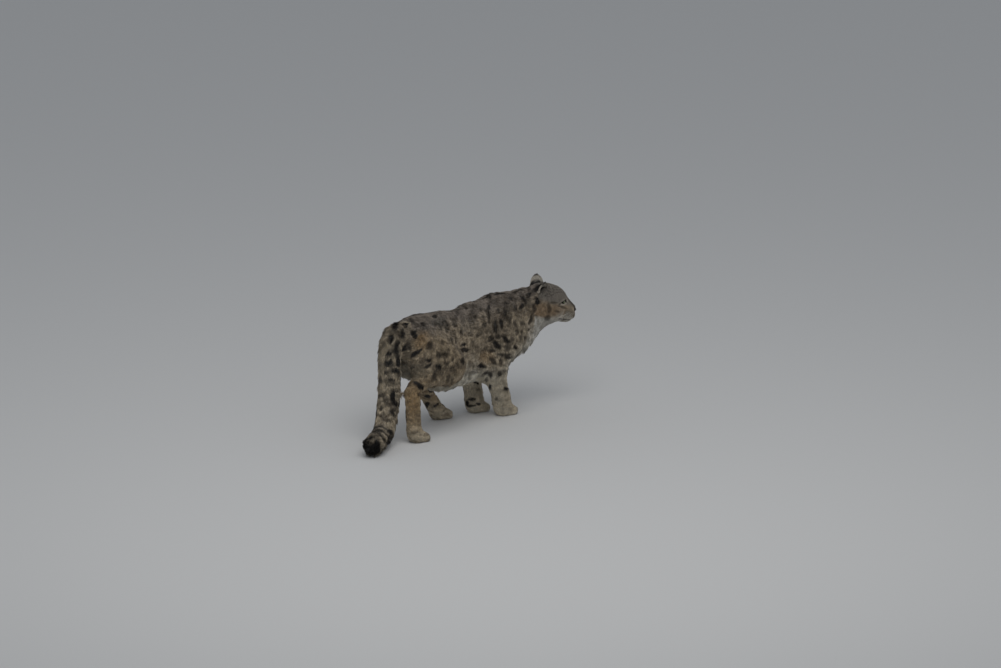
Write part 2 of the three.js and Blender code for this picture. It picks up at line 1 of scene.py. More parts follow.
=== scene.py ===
"""A walking snow leopard in winter coat, dressed over its solids: one skin, its fur, eyes and face.

Lengths in the row frame are metres. Sizes on the head are millimetres in the head's own axes.
"""
import json
import logging
import math
from collections.abc import Callable
from dataclasses import dataclass, field
from enum import Enum
from typing import NamedTuple

import bmesh
import bpy
import numpy as np
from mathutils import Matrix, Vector
from mathutils.bvhtree import BVHTree

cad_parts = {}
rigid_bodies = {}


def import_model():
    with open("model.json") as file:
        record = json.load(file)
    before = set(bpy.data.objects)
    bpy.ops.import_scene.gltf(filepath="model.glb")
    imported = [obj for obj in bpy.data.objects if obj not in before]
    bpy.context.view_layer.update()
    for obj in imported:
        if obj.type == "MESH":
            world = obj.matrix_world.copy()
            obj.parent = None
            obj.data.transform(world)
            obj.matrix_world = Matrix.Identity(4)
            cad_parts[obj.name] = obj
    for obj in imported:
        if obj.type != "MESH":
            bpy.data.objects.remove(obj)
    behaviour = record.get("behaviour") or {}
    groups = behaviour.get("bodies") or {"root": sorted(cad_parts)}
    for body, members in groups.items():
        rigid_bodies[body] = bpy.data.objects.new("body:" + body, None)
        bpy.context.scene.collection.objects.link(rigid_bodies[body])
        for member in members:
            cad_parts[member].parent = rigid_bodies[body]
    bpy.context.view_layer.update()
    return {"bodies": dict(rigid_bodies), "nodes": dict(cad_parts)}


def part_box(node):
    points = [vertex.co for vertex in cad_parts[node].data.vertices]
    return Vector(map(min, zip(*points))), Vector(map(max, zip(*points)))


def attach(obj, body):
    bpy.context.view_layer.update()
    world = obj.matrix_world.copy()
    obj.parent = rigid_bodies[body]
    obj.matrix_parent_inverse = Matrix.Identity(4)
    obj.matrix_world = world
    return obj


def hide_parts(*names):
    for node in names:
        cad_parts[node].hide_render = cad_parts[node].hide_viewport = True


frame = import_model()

LOG = logging.getLogger("snow_leopard")
MM = 0.001
SQUARE_CENTIMETRES = 1e4
ROOT = "root" if "root" in frame["bodies"] else sorted(frame["bodies"])[0]
FLOOR_CLEAR = 0.8 * MM
UP = np.array([0.0, 0.0, 1.0])
# The animal's left and right, as signs of the head's y.
SIDES = (1, -1)
# Metres above the floor under which nothing of the head lies.
HEAD_LOW = 0.3
# Metres ahead of the middle behind which nothing of the head lies.
HEAD_BACK = 0.42


def linear(code: str) -> np.ndarray:
    """Turns an sRGB hex value such as "8a7f70" to three linear numbers."""
    parts = np.array([int(code[i : i + 2], 16) for i in (0, 2, 4)]) / 255
    return np.where(parts <= 0.04045, parts / 12.92, ((parts + 0.055) / 1.055) ** 2.4)


def smooth(low: float, high: float, value: np.ndarray) -> np.ndarray:
    """A soft step of value, from 0 at low to 1 at high."""
    t = np.clip((value - low) / (high - low), 0, 1)
    return t * t * (3 - 2 * t)


def unit(vectors: np.ndarray) -> np.ndarray:
    """The same directions, each of length one."""
    return vectors / np.maximum(np.linalg.norm(vectors, axis=-1, keepdims=True), 1e-9)


def mix(a: np.ndarray, b: np.ndarray, share: np.ndarray) -> np.ndarray:
    """Goes from a to b by share, row by row."""
    return a + (b - a) * np.asarray(share)[..., None]


def bell(*offsets: np.ndarray) -> np.ndarray:
    """One where all offsets are zero, falling softly to zero about two away."""
    return np.exp(-sum(offset**2 for offset in offsets))


class Ripple:
    """Smooth seeded noise from a few waves, mostly between -1 and 1."""

    def __init__(self, seed: int, wavelength: float, waves: int = 14) -> None:
        """Draws the waves.

        Args:
            seed: the draw's seed.
            wavelength: the mean distance between crests, in metres.
            waves: how many waves are added up.
        """
        rng = np.random.default_rng(seed)
        way = unit(rng.normal(size=(waves, 3)))
        self.pull = way * (2 * math.pi / (wavelength * rng.uniform(0.6, 1.6, (waves, 1))))
        self.start = rng.uniform(0, 2 * math.pi, waves)

    def __call__(self, points: np.ndarray) -> np.ndarray:
        """The noise at each point."""
        return np.sin(points @ self.pull.T + self.start).sum(1) / math.sqrt(len(self.start) / 2)


def only(piece: bpy.types.Object) -> None:
    """Makes piece the one selected and active object."""
    bpy.ops.object.select_all(action="DESELECT")
    piece.select_set(True)
    bpy.context.view_layer.objects.active = piece


def apply_modifier(piece: bpy.types.Object, kind: str, **settings: object) -> None:
    """Adds a modifier with these settings and applies it."""
    only(piece)
    modifier = piece.modifiers.new(kind, kind)
    for name, value in settings.items():
        setattr(modifier, name, value)
    bpy.ops.object.modifier_apply(modifier=modifier.name)


def points_of(mesh: bpy.types.Mesh) -> np.ndarray:
    """The vertices' places as an array."""
    flat = np.empty(len(mesh.vertices) * 3, np.float32)
    mesh.vertices.foreach_get("co", flat)
    return flat.reshape(-1, 3).astype(float)


def normals_of(mesh: bpy.types.Mesh) -> np.ndarray:
    """The vertices' normals as an array."""
    flat = np.empty(len(mesh.vertices) * 3, np.float32)
    mesh.vertex_normals.foreach_get("vector", flat)
    return flat.reshape(-1, 3).astype(float)


def triangles_of(mesh: bpy.types.Mesh, key: str = "vertices") -> np.ndarray:
    """The three vertices, or loops, of each triangle."""
    mesh.calc_loop_triangles()
    flat = np.empty(len(mesh.loop_triangles) * 3, np.int32)
    mesh.loop_triangles.foreach_get(key, flat)
    return flat.reshape(-1, 3)


def tree_of(places: np.ndarray, triangles: np.ndarray) -> BVHTree:
    """A search tree over a surface."""
    return BVHTree.FromPolygons(places.tolist(), triangles.tolist())


def link(piece: bpy.types.Object) -> bpy.types.Object:
    """Puts an object in the scene."""
    bpy.context.scene.collection.objects.link(piece)
    return piece


def edit(piece: bpy.types.Object, operator: Callable, **settings: object) -> None:
    """Runs an edit mode operator on the whole of a piece."""
    only(piece)
    bpy.ops.object.mode_set(mode="EDIT")
    bpy.ops.mesh.select_all(action="SELECT")
    operator(**settings)
    bpy.ops.object.mode_set(mode="OBJECT")


def face_outward(piece: bpy.types.Object) -> None:
    """Turns a closed piece's faces outward."""
    edit(piece, bpy.ops.mesh.normals_make_consistent, inside=False)


def set_points(mesh: bpy.types.Mesh, places: np.ndarray) -> None:
    """Moves the vertices to these places."""
    mesh.vertices.foreach_set("co", places.astype(np.float32).ravel())
    mesh.update()


def mesh_from(name: str, places: np.ndarray, triangles: np.ndarray) -> bpy.types.Object:
    """Makes an object from arrays of places and triangles, shaded smooth."""
    mesh = bpy.data.meshes.new(name)
    mesh.vertices.add(len(places))
    mesh.vertices.foreach_set("co", places.astype(np.float32).ravel())
    mesh.loops.add(len(triangles) * 3)
    mesh.loops.foreach_set("vertex_index", triangles.astype(np.int32).ravel())
    mesh.polygons.add(len(triangles))
    mesh.polygons.foreach_set("loop_start", np.arange(0, len(triangles) * 3, 3, dtype=np.int32))
    mesh.polygons.foreach_set("use_smooth", np.ones(len(triangles), bool))
    mesh.update(calc_edges=True)
    return link(bpy.data.objects.new(name, mesh))


def paint(mesh: bpy.types.Mesh, colours: np.ndarray, name: str = "Coat") -> None:
    """Writes one linear colour a vertex to a colour attribute."""
    layer = mesh.color_attributes.new(name=name, type="FLOAT_COLOR", domain="POINT")
    full = np.ones((len(colours), 4), np.float32)
    full[:, :3] = colours
    layer.data.foreach_set("color", full.ravel())


class Web:
    """A mesh's edges, for soft averages over its surface."""

    def __init__(self, mesh: bpy.types.Mesh) -> None:
        """Reads the edges."""
        pairs = np.empty(len(mesh.edges) * 2, np.int32)
        mesh.edges.foreach_get("vertices", pairs)
        self.a, self.b = pairs.reshape(-1, 2).T
        self.size = len(mesh.vertices)
        self.degree = np.maximum(np.bincount(np.concatenate([self.a, self.b]), minlength=self.size), 1)

    def average(self, values: np.ndarray) -> np.ndarray:
        """Each vertex's mean over its neighbours."""
        columns = values.reshape(self.size, -1)
        out = np.empty_like(columns)
        for c in range(columns.shape[1]):
            total = np.bincount(self.a, columns[self.b, c], self.size)
            total += np.bincount(self.b, columns[self.a, c], self.size)
            out[:, c] = total / self.degree
        return out.reshape(values.shape)

    def soften(self, values: np.ndarray, rounds: int, share: object = 0.6) -> np.ndarray:
        """Averages values over the surface a number of rounds."""
        values = values.astype(float)
        for _ in range(rounds):
            values = values + (self.average(values) - values) * share
        return values


@dataclass(frozen=True)
class HeadFrame:
    """The head's own axes: x along the muzzle, y to the animal's left, z up, in millimetres."""

    eye: tuple[float, float, float] = (35.4, 34.0, 27.0)
    eye_radius: float = 15.0
    nose_tip: float = 122.4
    pitch: float = 17.0
    yaw: float = -30.0
    ear_root: tuple[float, float, float] = (-66.0, 52.0, 52.0)
    slant: float = 16.0
    outward: float = 30.0
    upward: float = 6.0
    source_origin: tuple[float, float, float] = (0.534, -0.062, 0.452)

    def turn(self) -> np.ndarray:
        """The head's axes as the columns of a matrix."""
        p, w = math.radians(self.pitch), math.radians(self.yaw)
        tilt = np.array([[math.cos(p), 0, math.sin(p)], [0, 1, 0], [-math.sin(p), 0, math.cos(p)]])
        swing = np.array([[math.cos(w), -math.sin(w), 0], [math.sin(w), math.cos(w), 0], [0, 0, 1]])
        return swing @ tilt

    def origin(self) -> np.ndarray:
        """The head's origin in the row frame, found from the two eyes' boxes."""
        corners = [np.array(corner) for side in ("left", "right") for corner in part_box(f"eye_{side}")]
        between = np.array([self.eye[0], 0, self.eye[2]]) * MM
        return sum(corners) / 4 - self.turn() @ between

    def local(self, points: np.ndarray) -> np.ndarray:
        """Row-frame points in the head's axes."""
        return (points - self.origin()) @ self.turn() / MM

    def world(self, points: np.ndarray) -> np.ndarray:
        """Points in the head's axes as row-frame points."""
        return np.asarray(points, float) * MM @ self.turn().T + self.origin()

    def eye_centre(self, side: int) -> np.ndarray:
        """The middle of one eyeball in the head's axes."""
        return np.array([self.eye[0], side * self.eye[1], self.eye[2]])

    def gaze(self, side: int) -> np.ndarray:
        """The way that an eye's opening faces, with the across and up ways of its opening."""
        out = math.tan(math.radians(self.outward))
        rise = math.tan(math.radians(self.upward))
        look = unit(np.array([1.0, side * out, rise]))
        across = unit(np.cross(UP, look))
        up = np.cross(look, across)
        lean = math.radians(self.slant) * -side
        return np.array([
            look,
            across * math.cos(lean) + up * math.sin(lean),
            up * math.cos(lean) - across * math.sin(lean),
        ])

    @staticmethod
    def ear_axes(side: int) -> np.ndarray:
        """The up, facing and across ways of one ear."""
        up = unit(np.array([-0.25, side * 0.42, 0.87]))
        facing = np.array([0.5, side * 0.86, 0.15])
        facing = unit(facing - up * (facing @ up))
        return np.array([up, facing, np.cross(up, facing)])


HEAD = HeadFrame()


@dataclass(frozen=True)
class TailLine:
    """The tail's middle line, from inside the rump to the tip on the floor."""

    rear: float = -0.348
    back: float = 0.545
    knots: tuple[tuple[float, float, float], ...] = (
        (0.066, 0.0, -0.084),
        (-0.014, 0.0, -0.066),
        (-0.054, -0.001, -0.104),
        (-0.065, -0.002, -0.180),
        (-0.068, -0.005, -0.290),
        (-0.086, -0.013, -0.400),
        (-0.139, -0.042, -0.478),
        (-0.227, -0.092, -0.493),
        (-0.330, -0.148, -0.495),
    )

    def line(self, shift: np.ndarray, steps: int = 24) -> np.ndarray:
        """Points along the tail in the row frame.

        Args:
            shift: from the source's frame to the row frame.
            steps: points between two knots.

        Returns:
            An array of points.
        """
        k = np.array(self.knots) + np.array([self.rear, 0, self.back]) + shift
        k = np.concatenate([[2 * k[0] - k[1]], k, [2 * k[-1] - k[-2]]])
        out = []
        for i in range(1, len(k) - 2):
            for t in np.linspace(0, 1, steps, endpoint=False):
                a, b, c, d = k[i - 1 : i + 3]
                out.append(0.5 * (2 * b + (c - a) * t + (2 * a - 5 * b + 4 * c - d) * t**2
                                  + (3 * b - a - 3 * c + d) * t**3))
        return np.array(out + [k[-2]])


class Camera:
    """A long lens behind and to the right of the animal, as in the photograph."""

    azimuth: float = -45.0
    elevation: float = 16.0
    distance: float = 60.0
    metres_a_pixel: float = 0.0044
    width: int = 1001
    height: int = 668
    sensor: float = 36.0
    anchor: tuple[float, float, float] = (-0.3246, 0.0087, 0.552)
    anchor_pixel: tuple[float, float] = (400.0, 317.0)

    def __init__(self) -> None:
        """Works out the view's axes."""
        a, e = math.radians(self.azimuth), math.radians(self.elevation)
        self.back = np.array([math.sin(a) * math.cos(e), -math.cos(a) * math.cos(e), math.sin(e)])
        self.right = np.array([math.cos(a), math.sin(a), 0])
        self.up = np.cross(self.back, self.right)
        off = np.array([self.width / 2 - self.anchor_pixel[0], self.anchor_pixel[1] - self.height / 2])
        middle = np.array(self.anchor) + (self.right * off[0] + self.up * off[1]) * self.metres_a_pixel
        self.place = middle + self.back * self.distance

    def ray(self, x: float, y: float) -> np.ndarray:
        """The way from the camera through a pixel of the photograph."""
        across = (x - self.width / 2) * self.metres_a_pixel
        rise = (self.height / 2 - y) * self.metres_a_pixel
        return unit(self.right * across + self.up * rise - self.back * self.distance)

    def add(self) -> None:
        """Adds the camera to the scene."""
        bpy.ops.object.camera_add(location=self.place)
        camera = bpy.context.object
        camera.name = "photo_camera"
        camera.rotation_mode = "QUATERNION"
        camera.rotation_quaternion = Vector(-self.back).to_track_quat("-Z", "Y")
        camera.data.sensor_width = self.sensor
        camera.data.lens = self.sensor * self.distance / (self.width * self.metres_a_pixel)
        camera.data.clip_start, camera.data.clip_end = 0.5, 400
        bpy.context.scene.camera = camera


class Region(Enum):
    """Parts of the body that differ in their coat; each value starts the names of its nodes."""

    HEAD = "head"
    EAR = "ear"
    NECK = "neck"
    TORSO = "torso"
    SHOULDER = "shoulder"
    FOREARM = "forearm"
    FRONT_PAW = "front_paw"
    THIGH = "thigh"
    HOCK = "hock"
    HIND_PAW = "hind_paw"
    TAIL = "tail"


@dataclass(frozen=True)
class Pelt:
    """The coat on one region: millimetres, degrees and tufts on a square centimetre."""

    length: float
    depth: float
    lift: float
    width: float
    density: float
    lie: tuple[float, float, float] = (-1.0, 0.0, -0.3)


PELTS: dict[Region, Pelt] = {
    Region.HEAD: Pelt(9, 2.6, 18, 1.4, 62),
    Region.EAR: Pelt(7, 1.6, 12, 1.6, 42),
    Region.NECK: Pelt(29, 9.5, 21, 3.6, 13, (-0.8, 0.15, -0.55)),
    Region.TORSO: Pelt(26, 9.5, 19, 3.5, 14, (-1.0, 0.0, -0.38)),
    Region.SHOULDER: Pelt(23, 8.0, 19, 3.4, 14, (-0.5, 0.0, -0.85)),
    Region.FOREARM: Pelt(17, 5.0, 18, 2.8, 20, (-0.1, 0.0, -1.0)),
    Region.FRONT_PAW: Pelt(8, 2.2, 15, 1.9, 38, (0.8, 0.0, -0.5)),
    Region.THIGH: Pelt(24, 8.5, 19, 3.4, 14, (-0.5, 0.0, -0.9)),
    Region.HOCK: Pelt(16, 4.5, 17, 2.7, 20, (0.0, 0.0, -1.0)),
    Region.HIND_PAW: Pelt(8, 2.2, 15, 1.9, 38, (0.8, 0.0, -0.5)),
    Region.TAIL: Pelt(31, 11.0, 21, 3.8, 14),
}


def within(regions: np.ndarray, *parts: Region) -> np.ndarray:
    """Whether each region's index is that of one of the parts."""
    return np.isin(regions, [list(Region).index(part) for part in parts])


def region_of(node: str) -> Region:
    """The region that a node's name belongs to."""
    fits = [region for region in Region if node.startswith(region.value)]
    return max(fits, key=lambda region: len(region.value))


class Paws:
    """The four paws, each found from its node's box."""

    names: tuple[str, ...] = ("front_paw_left", "front_paw_right", "hind_paw_left", "hind_paw_right")
    grooves: tuple[float, ...] = (-22.5, 0.0, 22.5)
    groove_width: float = 2.8
    margin: float = 0.004
    reach: float = 46.0

    def near(self, points: np.ndarray) -> np.ndarray:
        """Whether each row-frame point is on or close by a paw."""
        inside = np.zeros(len(points), bool)
        for name in self.names:
            low, high = (np.array(corner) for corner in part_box(name))
            inside |= ((points > low - self.margin) & (points < high + self.margin)).all(1)
        return inside

    def groove(self, points: np.ndarray) -> np.ndarray:
        """One in the grooves between the toes and zero elsewhere."""
        press = np.zeros(len(points))
        for name in self.names:
            low, high = (np.array(corner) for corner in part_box(name))
            off = (points - (high[0], (low[1] + high[1]) / 2, 0)) / MM
            here = smooth(-self.reach, -self.reach + 18, off[:, 0]) * (off[:, 0] < 10)
            here = here * (abs(off[:, 1]) < 52) * smooth(58, 40, off[:, 2])
            for line in self.grooves:
                spread = line * (1 + 0.0035 * (off[:, 0] + 20))
                press = np.maximum(press, here * bell((off[:, 1] - spread) / self.groove_width))
        return press


PAWS = Paws()


class Solids:
    """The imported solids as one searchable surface."""

    def __init__(self, nodes: dict[str, bpy.types.Object]) -> None:
        """Collects the triangles of the flesh nodes.

        Args:
            nodes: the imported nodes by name.
        """
        self.names = [name for name in sorted(nodes) if not name.startswith("eye")]
        places, faces, owners, start = [], [], [], 0
        for index, name in enumerate(self.names):
            mesh = nodes[name].data
            places.append(points_of(mesh))
            faces.append(triangles_of(mesh) + start)
            owners.append(np.full(len(faces[-1]), index))
            start += len(places[-1])
        self.owners = np.concatenate(owners)
        self.tree = tree_of(np.concatenate(places), np.concatenate(faces))

    def owners_of(self, points: np.ndarray) -> np.ndarray:
        """The index of the node nearest to each point."""
        return np.array([self.owners[self.tree.find_nearest(p)[2]] for p in points.tolist()])


def head_solid(name: str, places: list[np.ndarray], faces: list[tuple[int, ...]]) -> bpy.types.Object:
    """A closed solid in the head's axes, to be joined to the skin or cut from it."""
    mesh = bpy.data.meshes.new(name)
    mesh.from_pydata(HEAD.world(np.array(places)).tolist(), [], faces)
    piece = link(bpy.data.objects.new(name, mesh))
    face_outward(piece)
    return piece


@dataclass(frozen=True)
class EarCup:
    """A short round ear with a thin wall, its root sunk in the skull, in millimetres."""

    rows: int = 20
    columns: int = 26
    root: float = -26.0
    height: float = 50.0
    half_width: float = 31.5
    depth: float = 24.5
    wall: float = 3.4
    roundness: float = 3.8
    tip_share: float = 0.06
    flattening: float = 0.72
    lean: float = 3.0

    def at(self, row: int, column: int, inner: int) -> int:
        """The number of the place at a row and column, on the outer or inner face."""
        return (row * (self.columns + 1) + column) * 2 + inner

    def places(self, side: int) -> list[np.ndarray]:
        """The cup's places in the head's axes, row by row, outer and inner in turn."""
        up, facing, across = HEAD.ear_axes(side)
        places = []
        for r in range(self.rows + 1):
            rise = r / self.rows
            half = self.half_width * math.sqrt(max(self.tip_share, 1 - rise**self.roundness))
            deep = self.depth * (1 - self.flattening * rise**2)
            for c in range(self.columns + 1):
                turn = (2 * c / self.columns - 1) * math.pi / 2
                for inset in (0, self.wall):
                    back = -(deep - inset) * math.cos(turn) + inset * 0.3
                    out = (half - inset * 0.5) * math.sin(turn)
                    lean = self.lean * rise * rise * math.cos(turn)
                    level = self.root + (self.height - self.root) * rise
                    places.append(np.array(HEAD.ear_root) * (1, side, 1)
                                  + facing * (back + lean) + across * out + up * level)
        return places

    def build(self, side: int) -> bpy.types.Object:
        """Makes one ear."""
        at, rows, columns = self.at, self.rows, self.columns
        quads = []
        for r in range(rows):
            for c in range(columns):
                quads.append((at(r, c, 0), at(r + 1, c, 0), at(r + 1, c + 1, 0), at(r, c + 1, 0)))
                quads.append((at(r, c, 1), at(r, c + 1, 1), at(r + 1, c + 1, 1), at(r + 1, c, 1)))
            quads.append((at(r, 0, 0), at(r, 0, 1), at(r + 1, 0, 1), at(r + 1, 0, 0)))
            last, above = at(r, columns, 0), at(r + 1, columns, 0)
            quads.append((last + 1, last, above, above + 1))
        for c in range(columns):
            quads.append((at(0, c, 0), at(0, c + 1, 0), at(0, c + 1, 1), at(0, c, 1)))
            quads.append((at(rows, c, 0), at(rows, c, 1), at(rows, c + 1, 1), at(rows, c + 1, 0)))
        return head_solid("helper_ear", self.places(side), quads)


@dataclass
class Skin:
    """One closed skin under the coat, from the flesh nodes' own shapes."""

    solids: Solids
    voxel: float = 0.0066
    lid: float = 2.0
    opening: tuple[float, float, float] = (13.4, 6.4, 5.6)
    toe_groove: float = 4.5
    lip_groove: float = 2.6
    philtrum: float = 2.4
    under_nose: float = 1.9
    pad_rise: float = 4.2
    pad_crease: float = 2.4
    chin_dent: float = 1.2
    eye_hollow: float = 1.2
    upper_fold: float = 0.9
    lower_fold: float = 0.5
    smoothing: int = 26

    def build(self) -> bpy.types.Object:
        """Makes the skin, with ears, lids and open eye sockets."""
        piece = self.one_body()
        self.sink(piece)
        self.refine(piece, self.on_head, 4)
        self.refine(piece, PAWS.near, 3)
        self.refine(piece, self.on_face, 2)
        self.sculpt(piece)
        for side in SIDES:
            ear = EarCup().build(side)
            apply_modifier(piece, "BOOLEAN", operation="UNION", solver="MANIFOLD", object=ear)
        for side in SIDES:
            for cutter in self.eye_cutters(side):
                apply_modifier(piece, "BOOLEAN", operation="DIFFERENCE", solver="MANIFOLD", object=cutter)
        for helper in [o for o in bpy.data.objects if o.name.startswith("helper_")]:
            bpy.data.objects.remove(helper)
        self.keep_largest(piece)
        piece.data.shade_smooth()
        LOG.info("skin: %d triangles", len(triangles_of(piece.data)))
        return piece

    def one_body(self) -> bpy.types.Object:
        """Fuses copies of the flesh nodes and smooths away their facets."""
        copies = [
            link(bpy.data.objects.new(f"skin_{name}", node.data.copy()))
            for name, node in frame["nodes"].items() if not name.startswith("ear")
        ]
        only(copies[0])
        for copy in copies:
            copy.select_set(True)
        bpy.ops.object.join()
        piece = bpy.context.object
        piece.name = "skin"
        piece.data.materials.clear()
        edit(piece, bpy.ops.mesh.remove_doubles, threshold=0.05 * MM)
        apply_modifier(piece, "REMESH", mode="VOXEL", voxel_size=self.voxel, adaptivity=0)
        self.keep_largest(piece)
        mesh = piece.data
        places = points_of(mesh)
        fine = self.fineness(places)
        web = Web(mesh)
        for _ in range(self.smoothing):
            places = places + (web.average(places) - places) * (0.6 * (1 - 0.8 * fine))[:, None]
        set_points(mesh, places)
        return piece

    @staticmethod
    def fineness(places: np.ndarray) -> np.ndarray:
        """One on the face and the paws, where little is smoothed, and zero on the trunk."""
        face = smooth(-90, -20, HEAD.local(places)[:, 0]) * (places[:, 2] > HEAD_LOW)
        return np.maximum(face, smooth(0.085, 0.06, places[:, 2]) * (places[:, 0] > -0.345))

    @staticmethod
    def keep_largest(piece: bpy.types.Object) -> None:
        """Deletes every loose part but the largest."""
        shell = bmesh.new()
        shell.from_mesh(piece.data)
        seen, parts = set(), []
        for face in shell.faces:
            if face.index in seen:
                continue
            stack, part = [face], []
            seen.add(face.index)
            while stack:
                current = stack.pop()
                part.append(current)
                for edge in current.edges:
                    for other in edge.link_faces:
                        if other.index not in seen:
                            seen.add(other.index)
                            stack.append(other)
            parts.append(part)
        parts.sort(key=len)
        scraps = [face for part in parts[:-1] for face in part]
        if scraps:
            bmesh.ops.delete(shell, geom=scraps, context="FACES")
            loose = [v for v in shell.verts if not v.link_faces]
            bmesh.ops.delete(shell, geom=loose, context="VERTS")
        shell.to_mesh(piece.data)
        shell.free()
        piece.data.update()

    def sink(self, piece: bpy.types.Object) -> None:
        """Moves the skin in by the coat's depth."""
        mesh = piece.data
        places = points_of(mesh)
        owners = self.solids.owners_of(places)
        depths = np.array([PELTS[region_of(name)].depth for name in self.solids.names]) * MM
        depth = Web(mesh).soften(depths[owners], 14)
        sole = smooth(0.004, 0.012, places[:, 2])
        set_points(mesh, places - normals_of(mesh) * (depth * (0.15 + 0.85 * sole))[:, None])

    @staticmethod
    def on_head(points: np.ndarray) -> np.ndarray:
        """Whether each row-frame point is on the head."""
        p = HEAD.local(points)
        deep = p[:, 2] > -100 - 0.3 * p[:, 0].clip(None, 0)
        return (p[:, 0] > -96) & (p[:, 0] < 140) & (abs(p[:, 1]) < 100) & deep & (p[:, 2] < 120)

    @staticmethod
    def on_face(points: np.ndarray) -> np.ndarray:
        """Whether each row-frame point is on the face, from the brows to the chin."""
        p = HEAD.local(points)
        return (p[:, 0] > 8) & (p[:, 0] < 140) & (abs(p[:, 1]) < 58) & (abs(p[:, 2]) < 75)

    @staticmethod
    def refine(piece: bpy.types.Object, inside: Callable[[np.ndarray], np.ndarray], rounds: int) -> None:
        """Splits the faces in part of the skin into four and rounds them.

        Args:
            piece: the skin.
            inside: tells which row-frame points are in the part.
            rounds: rounds of smoothing there.
        """
        only(piece)
        shell = bmesh.new()
        shell.from_mesh(piece.data)
        chosen = inside(np.array([v.co for v in shell.verts]))
        edges = [e for e in shell.edges if chosen[e.verts[0].index] and chosen[e.verts[1].index]]
        bmesh.ops.subdivide_edges(shell, edges=edges, cuts=1, use_grid_fill=True, smooth=0.4)
        bmesh.ops.triangulate(shell, faces=[f for f in shell.faces if len(f.verts) > 4])
        shell.to_mesh(piece.data)
        shell.free()
        places = points_of(piece.data)
        weight = inside(places).astype(float)[:, None]
        web = Web(piece.data)
        for _ in range(rounds):
            places = places + (web.average(places) - places) * 0.5 * weight
        set_points(piece.data, places)

    def sculpt(self, piece: bpy.types.Object) -> None:
        """Shapes lids, eye hollows, the lip line, the groove under the nose and the toes."""
        places = points_of(piece.data)
        normals = normals_of(piece.data)
        places = places - normals * (self.toe_groove * MM * PAWS.groove(places))[:, None]
        p = HEAD.local(places)
        normal = normals @ HEAD.turn()
        for side in SIDES:
            p = self.lids(p, normal, side)
        p = p - normal * (self.lip_groove * self.lip_nearness(p))[:, None]
        slit = bell(p[:, 1] / 1.9) * smooth(-46, -38, p[:, 2]) * smooth(-8, -14, p[:, 2])
        p = p - normal * (self.philtrum * slit * (p[:, 0] > 96))[:, None]
        sunk = smooth(1.2, 0.95, Face.nose_distance(p))
        p = p - normal * (self.under_nose * sunk)[:, None]
        across = np.abs(p[:, 1])
        pad = bell((p[:, 0] - 92) / 19, (p[:, 2] + 26) / 14) * smooth(3, 15, across)
        crease = bell((p[:, 0] - 60) / 8, (p[:, 2] + 24) / 22) * smooth(20, 34, across)
        below = bell((p[:, 2] + 60) / 4) * smooth(70, 90, p[:, 0])
        rise = self.pad_rise * pad - self.pad_crease * crease - self.chin_dent * below
        p = p + normal * rise[:, None]
        set_points(piece.data, HEAD.world(p))

    def lids(self, p: np.ndarray, normal: np.ndarray, side: int) -> np.ndarray:
        """Lays the skin round one eyeball as lids, with a fold above and below.

        Args:
            p: the skin's points in the head's axes.
            normal: their normals in the same axes.
            side: 1 on the left and -1 on the right.

        Returns:
            The moved points.
        """
        centre = HEAD.eye_centre(side)
        look, across, up = HEAD.gaze(side)
        away = p - centre
        distance = np.linalg.norm(away, axis=1)
        facing = unit(away) @ look
        hollow = smooth(40, 24, distance) * smooth(-0.1, 0.5, facing)
        p = p - normal * (self.eye_hollow * hollow)[:, None]
        away = p - centre
        distance = np.linalg.norm(away, axis=1)
        facing = unit(away) @ look
        u, v = away @ across, away @ up
        target = HEAD.eye_radius + self.lid
        spread = np.sqrt((u / 16) ** 2 + (v / 10) ** 2)
        hug = smooth(1.75, 0.95, spread) * (facing > 0.15) * smooth(target + 14, target + 6, distance)
        moved = distance + hug * (target - distance)
        moved = np.where((facing > -0.35) & (distance < 30), np.maximum(moved, target), moved)
        above = bell((v - 10.5 + 0.02 * u * u) / 1.6)
        below = bell((v + 10 - 0.02 * u * u) / 1.8)
        crease = self.upper_fold * above + self.lower_fold * below
        crease = crease * smooth(17, 11, np.abs(u)) * (facing > 0.2) * (distance < 30)
        return centre + unit(away) * (moved - crease)[:, None]

    @staticmethod
    def lip_height(x: np.ndarray) -> np.ndarray:
        """The height of the line of the mouth at x, in the head's axes."""
        return np.interp(x, [30, 40, 56, 76, 94, 134], [-50, -51, -53, -53, -49, -43])

    @classmethod
    def lip_nearness(cls, p: np.ndarray, width: float = 2.3) -> np.ndarray:
        """One on the line of the mouth and zero away from it."""
        gap = (p[:, 2] - cls.lip_height(p[:, 0])) / width
        return bell(gap) * smooth(36, 46, p[:, 0]) * (np.abs(p[:, 1]) < 56)

    def eye_cutters(self, side: int) -> list[bpy.types.Object]:
        """A ball for the socket and an almond prism for the opening between the lids."""
        centre = HEAD.eye_centre(side)
        look, across, up = HEAD.gaze(side)
        bpy.ops.mesh.primitive_uv_sphere_add(
            segments=48, ring_count=32, radius=(HEAD.eye_radius + 0.3) * MM,
            location=HEAD.world(centre[None])[0],
        )
        ball = bpy.context.object
        ball.name = "helper_socket"
        bpy.ops.object.transform_apply(location=True, rotation=True, scale=True)
        outline = self.almond(*self.opening, steps=18)
        near, far = 6.0, 34.0
        places = [centre + look * reach + across * x + up * y for reach in (near, far) for x, y in outline]
        count = len(outline)
        faces = [tuple(range(count)), tuple(range(2 * count - 1, count - 1, -1))]
        faces += [(i, count + i, count + (i + 1) % count, (i + 1) % count) for i in range(count)]
        return [ball, head_solid("helper_almond", places, faces)]

    @staticmethod
    def almond(half_length: float, upper: float, lower: float, steps: int) -> list[tuple[float, float]]:
        """The outline of the opening between the lids, counted all round."""
        turns = [2 * math.pi * i / (2 * steps) for i in range(2 * steps)]
        return [(half_length * math.cos(t),
                 (upper if t < math.pi else lower) * math.copysign(abs(math.sin(t)) ** 1.25, math.sin(t)))
                for t in turns]


